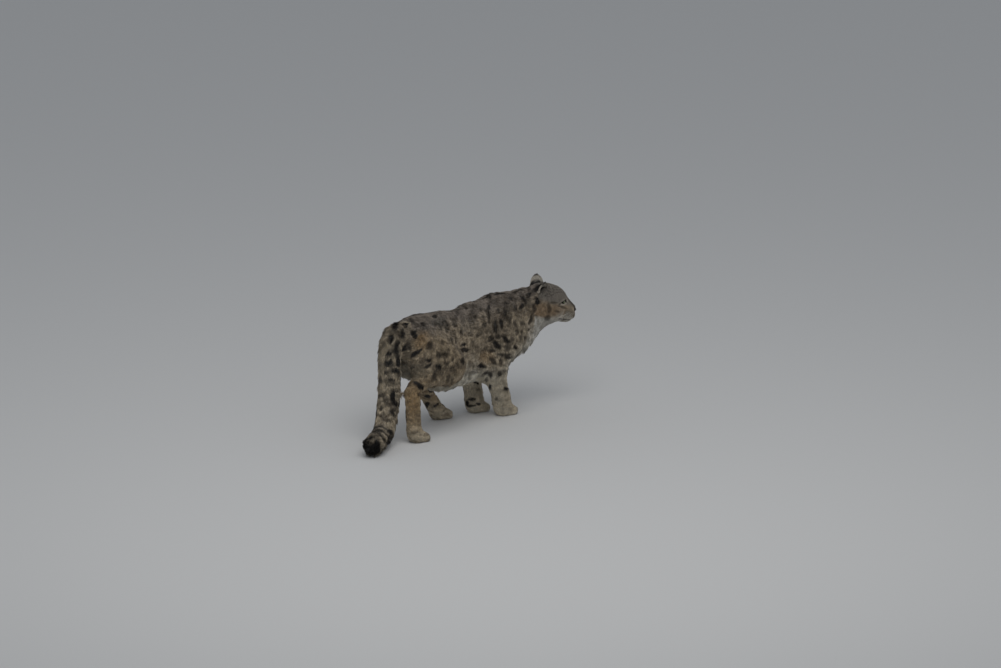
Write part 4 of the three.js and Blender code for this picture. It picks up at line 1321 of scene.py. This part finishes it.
@dataclass
class Coat:
    """Fur as solid mesh tufts that follow the lie of the coat."""

    skin: bpy.types.Object
    solids: Solids
    markings: Markings
    shift: np.ndarray
    limit: int = 195000
    nose_length: float = 3.8
    face_from: float = 6.0
    patch: float = 0.0015
    # Brightness at each tuft's root, two sides, ridge and tip: painted shadow low on the tuft and a
    # painted highlight at the tip.
    tuft_shadow_and_highlight: tuple[float, ...] = (0.45, 0.88, 0.88, 0.98, 1.16)
    colour_at: tuple[float, float] = (0.42, 0.85)
    lengths: tuple[float, float] = (0.72, 1.2)
    widths: tuple[float, float] = (0.7, 1.15)
    tones: tuple[float, float] = (0.88, 1.12)
    fade: float = 0.22
    spots: tuple[tuple[float, float], ...] = ((0, -1), (-1, 0), (1, 0), (0, 0.2), (0, 1))
    tuft_faces: np.ndarray = field(default_factory=lambda: np.array(
        [[0, 1, 2], [0, 2, 3], [0, 3, 1], [4, 2, 1], [4, 3, 2], [4, 1, 3]]
    ))

    def survey(self) -> None:
        """Works out region, lie, length and width at each vertex of the skin."""
        mesh = self.skin.data
        self.places, self.normals = points_of(mesh), normals_of(mesh)
        web = Web(mesh)
        owners = self.solids.owners_of(self.places)
        names = list(Region)
        of_node = np.array([names.index(region_of(name)) for name in self.solids.names])
        self.owners, self.regions = owners, of_node[owners]
        p = HEAD.local(self.places)
        on_head = within(self.regions, Region.HEAD)
        length = self.pelt_values("length")
        backward = 14 * smooth(110, -70, p[:, 0])
        ruff = 5 * smooth(-30, -60, p[:, 2]) * smooth(60, 20, p[:, 0])
        crown = 1 - 0.3 * smooth(30, 60, p[:, 2])
        length = np.where(on_head, (self.nose_length + backward + ruff) * crown, length)
        under = smooth(0.1, -0.6, self.normals[:, 2])
        trunk = within(self.regions, Region.TORSO, Region.NECK)
        length = np.where(trunk, length * (1 + 0.35 * under), length)
        self.length = web.soften(length, 10) * MM
        self.width = web.soften(self.pelt_values("width"), 8) * MM
        self.lift = np.radians(web.soften(self.pelt_values("lift"), 8))
        self.density = web.soften(self.pelt_values("density"), 6) * SQUARE_CENTIMETRES
        self.bare()
        self.lie = self.lie_field(web, names)

    def pelt_values(self, key: str) -> np.ndarray:
        """One of the coat's sizes at each vertex, by its region."""
        return np.array([getattr(PELTS[region], key) for region in Region], float)[self.regions]

    def bare(self) -> None:
        """Takes the coat off the nose, the lips' edge, the eye sockets and the soles."""
        p = HEAD.local(self.places)
        self.density *= smooth(1.02, 1.16, Face.nose_distance(p))
        for side in SIDES:
            away = p - HEAD.eye_centre(side)
            look, across, up = HEAD.gaze(side)
            opening = np.sqrt((away @ across / 14.2) ** 2 + (away @ up / 8.6) ** 2)
            ball = np.linalg.norm(away, axis=1)
            open_eye = (opening < 1.0) & (away @ look > 0) & (ball < 26)
            self.density *= 1 - ((ball < HEAD.eye_radius + 1.2) | open_eye)
            close = smooth(36, 19, ball)
            self.length *= 1 - 0.6 * close
            self.width *= 1 - 0.35 * close
        self.density *= 1 - 0.9 * Skin.lip_nearness(p, 1.6)
        sole = (self.places[:, 2] < 0.010) & (self.normals[:, 2] < -0.6)
        self.density *= 1 - sole

    def lie_field(self, web: Web, names: list[Region]) -> np.ndarray:
        """The coat's lie, as a direction along the skin at each vertex."""
        lie = np.array([PELTS[names[r]].lie for r in self.regions])
        line = TailLine().line(self.shift)
        ways = unit(np.gradient(line, axis=0))
        tail = np.nonzero(within(self.regions, Region.TAIL))[0]
        near = np.argmin(((self.places[tail, None, :] - line[None]) ** 2).sum(2), 1)
        lie[tail] = ways[near]
        head = np.nonzero(within(self.regions, Region.HEAD, Region.EAR))[0]
        p = HEAD.local(self.places[head])
        flow = unit(p - (HEAD.nose_tip + 4, 0, 2))
        for side in SIDES:
            away = p - HEAD.eye_centre(side)
            look = HEAD.gaze(side)[0]
            off = away - np.outer(away @ look, look)
            flow = flow + 1.5 * unit(off) * smooth(34, 16, np.linalg.norm(away, axis=1))[:, None]
            ear_up = HEAD.ear_axes(side)[0]
            ear = within(self.regions[head], Region.EAR) & (p[:, 1] * side > 0)
            flow[ear] = ear_up
        lie[head] = unit(flow) @ HEAD.turn().T
        for node, way in (("hock_right", (0.03, 0, -1)), ("hock_left", (0.72, 0, -0.7))):
            here = self.owners == self.solids.names.index(node)
            lie[here] = way
        lie = unit(web.soften(lie, 12))
        lie = lie - self.normals * (lie * self.normals).sum(1)[:, None]
        return unit(web.soften(unit(lie), 3))

    def grow(self) -> list[bpy.types.Object]:
        """Grows the tufts, group by group.

        Returns:
            The coat's pieces.
        """
        mesh = self.skin.data
        corners, loops = triangles_of(mesh), triangles_of(mesh, "loops")
        uv = np.empty(len(mesh.loops) * 2, np.float32)
        mesh.uv_layers["OFBake"].data.foreach_get("uv", uv)
        self.uv = uv.reshape(-1, 2)
        a, b, c = (self.places[corners[:, i]] for i in range(3))
        area = np.linalg.norm(np.cross(b - a, c - a), axis=1) / 2
        load = area * self.density[corners].mean(1)
        middle = (a + b + c) / 3
        pieces = []
        for number, (name, chosen) in enumerate(self.groups(corners, middle)):
            pieces.append(self.grow_group(name, np.nonzero(chosen)[0], corners, loops, load, number))
        return pieces

    def groups(self, corners: np.ndarray, middle: np.ndarray) -> list[tuple[str, np.ndarray]]:
        """Names the coat's pieces and says which triangles of the skin each covers."""
        region = self.regions[corners[:, 0]]
        right = middle[:, 1] < self.shift[1]
        rear = middle[:, 0] < self.shift[0]
        trunk = within(region, Region.TORSO)
        back_leg = within(region, Region.THIGH, Region.HOCK, Region.HIND_PAW)
        front_leg = within(region, Region.SHOULDER, Region.FOREARM, Region.FRONT_PAW)
        face = within(region, Region.HEAD) & (HEAD.local(middle)[:, 0] > self.face_from)
        return [
            ("coat_face", face), ("coat_crown", within(region, Region.HEAD, Region.EAR) & ~face),
            ("coat_neck", within(region, Region.NECK)), ("coat_tail", within(region, Region.TAIL)),
            ("coat_flank_right", trunk & right & ~rear), ("coat_rump_right", trunk & right & rear),
            ("coat_flank_left", trunk & ~right & ~rear), ("coat_rump_left", trunk & ~right & rear),
            ("coat_hind_leg_right", back_leg & right), ("coat_hind_leg_left", back_leg & ~right),
            ("coat_front_leg_right", front_leg & right), ("coat_front_leg_left", front_leg & ~right),
        ]

    def grow_group(self, name: str, faces: np.ndarray, corners: np.ndarray, loops: np.ndarray,
                   load: np.ndarray, number: int) -> bpy.types.Object:
        """Grows one piece of the coat.

        Args:
            name: the piece's name.
            faces: the skin's triangles that it covers.
            corners: each triangle's vertices.
            loops: each triangle's loops.
            load: tufts that each triangle carries.
            number: the group's number, for its seed.

        Returns:
            The piece.
        """
        rng = np.random.default_rng(100 + number)
        total = np.cumsum(load[faces])
        count = int(min(total[-1], self.limit // len(self.tuft_faces)))
        marks = (np.arange(count) + rng.random(count)) / count * total[-1]
        chosen = faces[np.searchsorted(total, marks).clip(0, len(faces) - 1)]
        share = rng.dirichlet((1, 1, 1), count)
        corner, loop = corners[chosen], loops[chosen]

        def at(values: np.ndarray) -> np.ndarray:
            """The values at the tufts' roots."""
            return (values[corner] * share.reshape(count, 3, *[1] * (values.ndim - 1))).sum(1)

        root, normal, lie = at(self.places), unit(at(self.normals)), at(self.lie)
        uv = (self.uv[loop] * share[:, :, None]).sum(1)
        length = at(self.length) * rng.uniform(*self.lengths, count) * (1 + 0.12 * Ripple(31, 0.03)(root))
        width = at(self.width) * rng.uniform(*self.widths, count)
        lift = at(self.lift) * (1 + 0.2 * Ripple(34, 0.02)(root)) + rng.normal(0, 0.04, count)
        lie = unit(lie - normal * (lie * normal).sum(1)[:, None])
        side = np.cross(normal, lie)
        sway = 0.18 * Ripple(32, 0.04)(root) + 0.09 * Ripple(33, 0.014)(root) + rng.normal(0, 0.10, count)
        lie, side = unit(lie + side * sway[:, None]), unit(side - lie * sway[:, None])
        regions = self.regions[corner[:, 0]]
        colour = np.stack([
            self.markings.colours(root + lie * (reach * length)[:, None], normal, regions)
            for reach in self.colour_at
        ], 1)
        colour *= rng.uniform(*self.tones, count)[:, None, None]
        grey = colour.mean(2, keepdims=True)
        colour += (grey - colour) * rng.uniform(0, self.fade, count)[:, None, None]
        places = self.tufts(root, normal, lie, side, length, width, lift)
        verts = places.shape[1]
        flat = places.reshape(-1, 3)
        step = 0.3 * MM * (np.arange(len(flat)) % verts) / verts
        flat[:, 2] = np.maximum(flat[:, 2], FLOOR_CLEAR + step)
        triangles = (self.tuft_faces[None] + np.arange(count)[:, None, None] * verts).reshape(-1, 3)
        triangles = self.turned_out(flat, triangles, self.tuft_faces, verts)
        piece = mesh_from(name, flat, triangles)
        # Each tuft's colour, with painted shadow at its root and a painted highlight at its tip.
        painted_tuft_light = colour[:, [0, 0, 0, 0, 1]] * np.array(self.tuft_shadow_and_highlight)[None, :, None]
        paint(piece.data, painted_tuft_light.reshape(-1, 3))
        layer = piece.data.uv_layers.new(name="OFBake")
        patch = np.clip(uv[:, None, :] + np.array(self.spots)[None] * self.patch, 0.0005, 0.9995)
        layer.data.foreach_set("uv", patch.reshape(-1, 2)[triangles.ravel()].astype(np.float32).ravel())
        LOG.info("%s: %d tufts, %d triangles", name, count, len(triangles))
        return piece

    @staticmethod
    def tufts(root: np.ndarray, normal: np.ndarray, lie: np.ndarray, side: np.ndarray, length: np.ndarray,
              width: np.ndarray, lift: np.ndarray) -> np.ndarray:
        """The five points of each tuft: its root, three round its middle and its tip.

        Args:
            root: the tufts' roots on the skin.
            normal: the skin's normals there.
            lie: the way each tuft lies.
            side: the way across each tuft.
            length: the tufts' lengths.
            width: the tufts' widths.
            lift: the angles at which they leave the skin.

        Returns:
            An array of tufts, points and coordinates.
        """
        length, width, lift = length[:, None], width[:, None], lift[:, None]
        first = lie * np.cos(lift) + normal * np.sin(lift)
        low = lift * 0.3
        second = unit(lie * np.cos(low) + normal * np.sin(low) - UP * 0.10)
        start = root - normal * np.minimum(0.1 * length, MM)
        middle = start + first * (0.48 * length)
        tip = middle + second * (0.54 * length)
        across = side * (width / 2)
        ridge = normal * (width * 0.32)
        under = middle - ridge * 0.4
        return np.stack([start, under + across, under - across, middle + ridge, tip], 1)

    @staticmethod
    def turned_out(flat: np.ndarray, triangles: np.ndarray, one: np.ndarray, verts: int) -> np.ndarray:
        """Turns the tufts' faces outward, judged on the first tuft of the piece."""
        centre = flat[:verts].mean(0)
        a, b, c = (flat[one[:, i]] for i in range(3))
        out = (np.cross(b - a, c - a) * ((a + b + c) / 3 - centre)).sum()
        return triangles if out > 0 else triangles[:, ::-1]


@dataclass
class Face:
    """Eyeballs, nose leather, lips and whiskers."""

    tree: BVHTree
    whisker_radius: float = 0.36
    whisker_rows: int = 4
    whisker_columns: int = 5
    whisker_lengths: tuple[float, float] = (48.0, 78.0)
    lip_radius: float = 1.5
    lip_span: tuple[float, float] = (44.0, 114.0)
    cornea_rise: float = 1.1
    pupil: tuple[float, float] = (19.0, 16.5)
    nose_size: tuple[float, float, float] = (12.5, 18.3, 11.8)
    nose_middle: tuple[float, float, float] = (-12.8, 0.0, -3.6)

    @staticmethod
    def tube(rings: np.ndarray, start: int = 0) -> list[tuple[int, ...]]:
        """The triangles of a closed tube.

        Args:
            rings: the tube's places, as rings, points round each and coordinates.
            start: the number of its first place.

        Returns:
            The triangles, the two ends' last.
        """
        count, sides = rings.shape[:2]
        faces = []
        for i in range(count - 1):
            for k in range(sides):
                a, b = start + i * sides + k, start + i * sides + (k + 1) % sides
                faces += [(a, b, b + sides), (a, b + sides, a + sides)]
        for i, order in ((0, 1), (count - 1, -1)):
            ring = start + i * sides
            faces += [(ring, ring + k + 1, ring + k)[::order] for k in range(1, sides - 1)]
        return faces

    @staticmethod
    def nose_distance(p: np.ndarray) -> np.ndarray:
        """How far points in the head's axes lie from the nose's middle, where its edge is one."""
        return np.linalg.norm((p - (HEAD.nose_tip - 12, 0, -4)) / (14, 19.5, 13), axis=1)

    def eye(self, side: int) -> bpy.types.Object:
        """One eyeball: a ball with a raised cornea, a pale iris and a round pupil."""
        bpy.ops.mesh.primitive_uv_sphere_add(segments=56, ring_count=72, radius=1)
        piece = bpy.context.object
        piece.name = "eyeball_left" if side > 0 else "eyeball_right"
        look, across, up = HEAD.gaze(side)
        look = unit(look + np.array([0.04, -side * 0.07, -0.02]))
        across = unit(np.cross(up, look))
        up = np.cross(look, across)
        q = points_of(piece.data)
        angle = np.degrees(np.arccos(np.clip(q[:, 2], -1, 1)))
        radius = HEAD.eye_radius - 0.25 + self.cornea_rise * smooth(44, 12, angle)
        p = q[:, :1] * across + q[:, 1:2] * up + q[:, 2:] * look
        set_points(piece.data, HEAD.world(HEAD.eye_centre(side) + p * radius[:, None]))
        turn = np.arctan2(q[:, 1], q[:, 0])
        ray = np.sin(turn * 23) * 0.5 + np.sin(turn * 41) * 0.5
        iris = mix(TONES["iris_outer"], TONES["iris_inner"], smooth(44, 22, angle) + 0.14 * ray)
        colour = mix(iris, TONES["iris_rim"], smooth(40, 47, angle))
        colour = mix(colour, TONES["eye_white"], smooth(50, 55, angle))
        colour = mix(colour, TONES["pupil"], smooth(*self.pupil, angle))
        paint(piece.data, colour)
        piece.data.shade_smooth()
        return piece

    @staticmethod
    def nostril(q: np.ndarray, side: int, width: float, height: float) -> np.ndarray:
        """One inside a comma-shaped nostril of the round nose, and zero outside."""
        u = (q[:, 1] * side - 0.50 - 0.22 * np.clip(-q[:, 2], -0.3, 1)) / width
        v = (q[:, 2] + 0.15 + 0.35 * (q[:, 1] * side - 0.5)) / height
        return np.exp(-(u * u + v * v) ** 1.4)

    def nose(self) -> bpy.types.Object:
        """The nose leather: a rounded pad, wide above, with two comma-shaped nostrils."""
        bpy.ops.mesh.primitive_ico_sphere_add(subdivisions=5, radius=1)
        piece = bpy.context.object
        piece.name = "nose"
        q = points_of(piece.data)
        narrow = 1 - 0.30 * smooth(0.2, -1.0, q[:, 2])
        deep, wide, tall = self.nose_size
        p = np.stack([q[:, 0] * deep, q[:, 1] * wide * narrow, q[:, 2] * tall], 1)
        p[:, 2] += 1.8 * smooth(0.5, 1, q[:, 2])
        front = q[:, 0] > -0.1
        for side in SIDES:
            pit = self.nostril(q, side, 0.21, 0.26) * front
            p = p - np.stack([pit * 6.5, -pit * side * 0.8, pit * 0], 1)
            wing = bell((q[:, 1] * side - 0.62) / 0.28, (q[:, 2] - 0.18) / 0.25) * front
            p = p + np.stack([wing * 1.5, wing * side * 1.0, wing * 0.3], 1)
        groove = bell(q[:, 1] / 0.09) * smooth(0.1, -0.3, q[:, 2]) * front
        p[:, 0] -= groove * 1.6
        p += 0.18 * Ripple(51, 0.0022)(q * 0.013)[:, None] * unit(q)
        centre = np.array([HEAD.nose_tip, 0, 0]) + self.nose_middle
        set_points(piece.data, HEAD.world(centre + p))
        hollow = np.zeros(len(q))
        for side in SIDES:
            hollow = np.maximum(hollow, self.nostril(q, side, 0.24, 0.30) * front)
        edge = smooth(0.25, 0.9, np.abs(q[:, 1]))
        colour = mix(np.tile(TONES["leather"], (len(q), 1)), TONES["leather_side"], edge)
        # The nostrils' pits are painted near black: painted shade.
        colour = mix(colour, TONES["nostril"], np.clip(1.3 * hollow, 0, 1))
        paint(piece.data, colour)
        piece.data.shade_smooth()
        return piece

    def lips(self) -> bpy.types.Object:
        """The dark edge of the lips, a thin closed cord that follows the line of the mouth."""
        path = []
        for side in SIDES:
            for x in np.linspace(*self.lip_span[::side], 40):
                z = float(Skin.lip_height(np.array([x]))[0])
                start = HEAD.world(np.array([[x, side * 90, z]]))[0]
                way = -side * HEAD.turn()[:, 1]
                hit = self.tree.ray_cast(Vector(start), Vector(way))[0]
                if hit is not None:
                    local = HEAD.local(np.array(hit)[None])[0]
                    if abs(local[1]) < 60:
                        path.append(local - (0, side * 0.5, 0))
        path = np.array(path)
        for _ in range(4):
            path[1:-1] = (path[:-2] + 2 * path[1:-1] + path[2:]) / 4
        count, sides = len(path), 8
        ways = unit(np.gradient(path, axis=0))
        fat = self.lip_radius * np.sin(np.linspace(0.12, math.pi - 0.12, count)) ** 0.35
        places = []
        for k in range(sides):
            turn = 2 * math.pi * k / sides
            flat = unit(np.cross(ways, UP))
            rise = np.cross(flat, ways)
            places.append(path + (flat * math.cos(turn) + rise * math.sin(turn) * 0.75) * fat[:, None])
        rings = np.stack(places, 1)
        piece = mesh_from("lips", HEAD.world(rings.reshape(-1, 3)), np.array(self.tube(rings)))
        face_outward(piece)
        paint(piece.data, np.tile(TONES["lip_edge"], (len(piece.data.vertices), 1)))
        return piece

    def whiskers(self) -> bpy.types.Object:
        """Long white whiskers in four rows on each side, curved back and down."""
        rng = np.random.default_rng(61)
        places, faces, sides, steps = [], [], 5, 9
        turns = 2 * math.pi * np.arange(sides) / sides
        circle = np.stack([np.cos(turns), np.zeros(sides), np.sin(turns)], 1)
        for side in SIDES:
            for row in range(self.whisker_rows):
                for n in range(self.whisker_columns):
                    x, z = 106 - 7.5 * n - 2 * row, -12 - 6.2 * row
                    start = HEAD.world(np.array([[x, side * 80, z]]))[0]
                    hit = self.tree.ray_cast(Vector(start), Vector(-side * HEAD.turn()[:, 1]))[0]
                    if hit is None:
                        continue
                    root = HEAD.local(np.array(hit)[None])[0] - (0, side * 1.0, 0)
                    length = rng.uniform(*self.whisker_lengths) * (0.7 + 0.1 * n)
                    droop = -0.12 - 0.12 * row + rng.normal(0, 0.05)
                    way = unit(np.array([-0.25 - 0.12 * n, side * 0.95, droop]))
                    rings = []
                    for t in np.arange(steps + 1) / steps:
                        bend = np.array([-0.42, -side * 0.10, -0.22]) * length * t * t
                        middle = root + way * length * t + bend
                        rings.append(middle + circle * (self.whisker_radius * (1 - 0.86 * t)))
                    faces += self.tube(np.array(rings), len(places))
                    places += list(np.array(rings).reshape(-1, 3))
        piece = mesh_from("whiskers", HEAD.world(np.array(places)), np.array(faces))
        face_outward(piece)
        paint(piece.data, np.tile(TONES["whisker"], (len(piece.data.vertices), 1)))
        return piece


def add_node(tree: bpy.types.NodeTree, kind: str, inputs: dict | None = None,
             **settings: object) -> bpy.types.Node:
    """Adds a node.

    Args:
        tree: the material's node tree.
        kind: the node's type.
        inputs: sockets by name, each a value or an output socket to link.
        settings: the node's own properties.

    Returns:
        The node.
    """
    node = tree.nodes.new(kind)
    for name, value in settings.items():
        setattr(node, name, value)
    for name, value in (inputs or {}).items():
        if isinstance(value, bpy.types.NodeSocket):
            tree.links.new(value, node.inputs[name])
        else:
            node.inputs[name].default_value = value
    return node


@dataclass(frozen=True)
class Finish:
    """A surface whose colour comes from the piece's own attribute."""

    name: str
    roughness: float
    specular: float = 0.5
    sheen: float = 0.0
    grain: float = 0.002
    vary: float = 0.15
    bump: float = 0.0
    bump_depth: float = 0.0004

    def material(self) -> bpy.types.Material:
        """The finish as a material."""
        material = bpy.data.materials.new(self.name)
        material.use_nodes = True
        tree = material.node_tree
        tree.nodes.clear()
        out = add_node(tree, "ShaderNodeOutputMaterial")
        place = add_node(tree, "ShaderNodeTexCoord")
        noise = add_node(tree, "ShaderNodeTexNoise", {
            "Vector": place.outputs["Object"], "Scale": 1 / self.grain, "Detail": 4.0, "Roughness": 0.6,
        })
        level = add_node(tree, "ShaderNodeMapRange", {
            "Value": noise.outputs["Fac"], "From Min": 0.3, "From Max": 0.7,
            "To Min": 1 - self.vary, "To Max": 1 + self.vary,
        })
        own = add_node(tree, "ShaderNodeAttribute", attribute_name="Coat")
        tone = add_node(tree, "ShaderNodeVectorMath", {0: own.outputs["Color"]}, operation="SCALE")
        tree.links.new(level.outputs["Result"], tone.inputs["Scale"])
        surface = add_node(tree, "ShaderNodeBsdfPrincipled", {
            "Base Color": tone.outputs["Vector"], "Roughness": self.roughness,
            "Specular IOR Level": self.specular, "Sheen Weight": self.sheen,
            "Sheen Roughness": 0.5,
        })
        if self.bump:
            ridge = add_node(tree, "ShaderNodeBump", {
                "Height": noise.outputs["Fac"], "Strength": self.bump, "Distance": self.bump_depth,
            })
            tree.links.new(ridge.outputs["Normal"], surface.inputs["Normal"])
        tree.links.new(surface.outputs["BSDF"], out.inputs["Surface"])
        return material


# Dull, dense fur with a faint sheen where the light grazes it.
FUR = Finish("winter_fur", 0.78, specular=0.22, sheen=0.12, grain=0.0035, vary=0.16)
# Matt short-haired hide, mottled and finely ridged, seen between the tufts.
HIDE = Finish("furred_hide", 0.9, specular=0.1, grain=0.0016, vary=0.2, bump=0.7)
# A wet eyeball with one small clear highlight.
EYE = Finish("wet_eye", 0.08, specular=0.22, grain=0.0012, vary=0.10)
# Nose leather, softly shiny and finely pebbled.
LEATHER = Finish("nose_leather", 0.5, specular=0.35, grain=0.0009, vary=0.14, bump=0.6)
# Smooth dark lip skin, a little moist.
LIP = Finish("lip_skin", 0.42, specular=0.5, grain=0.001, vary=0.1, bump=0.3)
# Stiff white whisker hair that catches the light.
HAIR = Finish("whisker_hair", 0.4, specular=0.5, grain=0.004, vary=0.06)


class Studio:
    """A pale floor under soft light."""

    floor_tone: str = "d9d9d8"
    floor_size: float = 80.0
    sky_tone: str = "e4e9f0"
    sky_strength: float = 0.39
    lamp_place: tuple[float, float, float] = (-1.5, -2.0, 5.0)
    lamp_way: tuple[float, float, float] = (1.5, 2.0, -4.7)
    lamp_size: float = 5.0
    lamp_power: float = 98.0
    lamp_tone: tuple[float, float, float] = (1.0, 0.985, 0.96)

    def build(self) -> None:
        """Adds the floor, the sky's light and one large soft lamp."""
        bpy.ops.object.select_all(action="DESELECT")
        bpy.ops.mesh.primitive_plane_add(size=self.floor_size, location=(0, 0, 0))
        floor = bpy.context.object
        floor.name = "studio_floor"
        material = bpy.data.materials.new("pale_matt_floor")
        material.use_nodes = True
        surface = material.node_tree.nodes["Principled BSDF"]
        surface.inputs["Base Color"].default_value = (*linear(self.floor_tone), 1)
        surface.inputs["Roughness"].default_value = 0.95
        surface.inputs["Specular IOR Level"].default_value = 0.1
        floor.data.materials.append(material)
        world = bpy.data.worlds.new("soft_sky")
        bpy.context.scene.world = world
        world.use_nodes = True
        background = world.node_tree.nodes["Background"]
        background.inputs["Color"].default_value = (*linear(self.sky_tone), 1)
        background.inputs["Strength"].default_value = self.sky_strength
        bpy.ops.object.light_add(type="AREA", location=self.lamp_place)
        lamp = bpy.context.object
        lamp.name = "soft_lamp"
        lamp.data.shape = "DISK"
        lamp.data.size = self.lamp_size
        lamp.data.energy = self.lamp_power
        lamp.data.color = self.lamp_tone
        lamp.rotation_mode = "QUATERNION"
        lamp.rotation_quaternion = Vector(self.lamp_way).to_track_quat("-Z", "Y")
        bpy.context.scene.view_settings.view_transform = "Standard"


def dress(piece: bpy.types.Object, material: bpy.types.Material) -> None:
    """Gives a piece its material and slot, and lets it ride on the body."""
    piece.data.materials.clear()
    piece.data.materials.append(material)
    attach(piece, ROOT)


def unwrap(piece: bpy.types.Object) -> None:
    """Lays the skin's own surface out flat in a UV map named OFBake."""
    piece.data.uv_layers.new(name="OFBake")
    edit(piece, bpy.ops.uv.smart_project, angle_limit=math.radians(60), island_margin=0.002)


def main() -> None:
    """Builds the skin, the coat, the face and the studio, and logs the skin and each piece of the coat."""
    logging.basicConfig(level=logging.INFO, format="%(asctime)s %(message)s")
    camera = Camera()
    camera.add()
    eye = np.array(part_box("eye_left")[0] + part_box("eye_right")[1]) / 2
    LOG.info("head origin %s, between the eyes %s", HEAD.origin().round(4), eye.round(4))
    shift = HEAD.origin() - np.array(HEAD.source_origin)
    solids = Solids(frame["nodes"])
    skin = Skin(solids).build()
    unwrap(skin)
    markings = Markings(skin, solids, camera, shift)
    markings.plan()
    coat = Coat(skin, solids, markings, shift)
    coat.survey()
    fur, hide = FUR.material(), HIDE.material()
    for piece in coat.grow():
        dress(piece, fur)
    # The hide is painted darker under long fur: painted shade between the tufts.
    under = 0.6 + 0.3 * smooth(10 * MM, 5 * MM, coat.length)
    paint(skin.data, markings.colours(coat.places, coat.normals, coat.regions) * under[:, None])
    dress(skin, hide)
    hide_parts(*[name for name in frame["nodes"] if not name.startswith("eye")])
    face = Face(markings.tree)
    wet = EYE.material()
    for side, name in ((1, "left"), (-1, "right")):
        ball = face.eye(side)
        dress(ball, wet)
        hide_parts(f"eye_{name}")
    dress(face.nose(), LEATHER.material())
    dress(face.lips(), LIP.material())
    dress(face.whiskers(), HAIR.material())
    Studio().build()


if __name__ == "__main__":
    main()
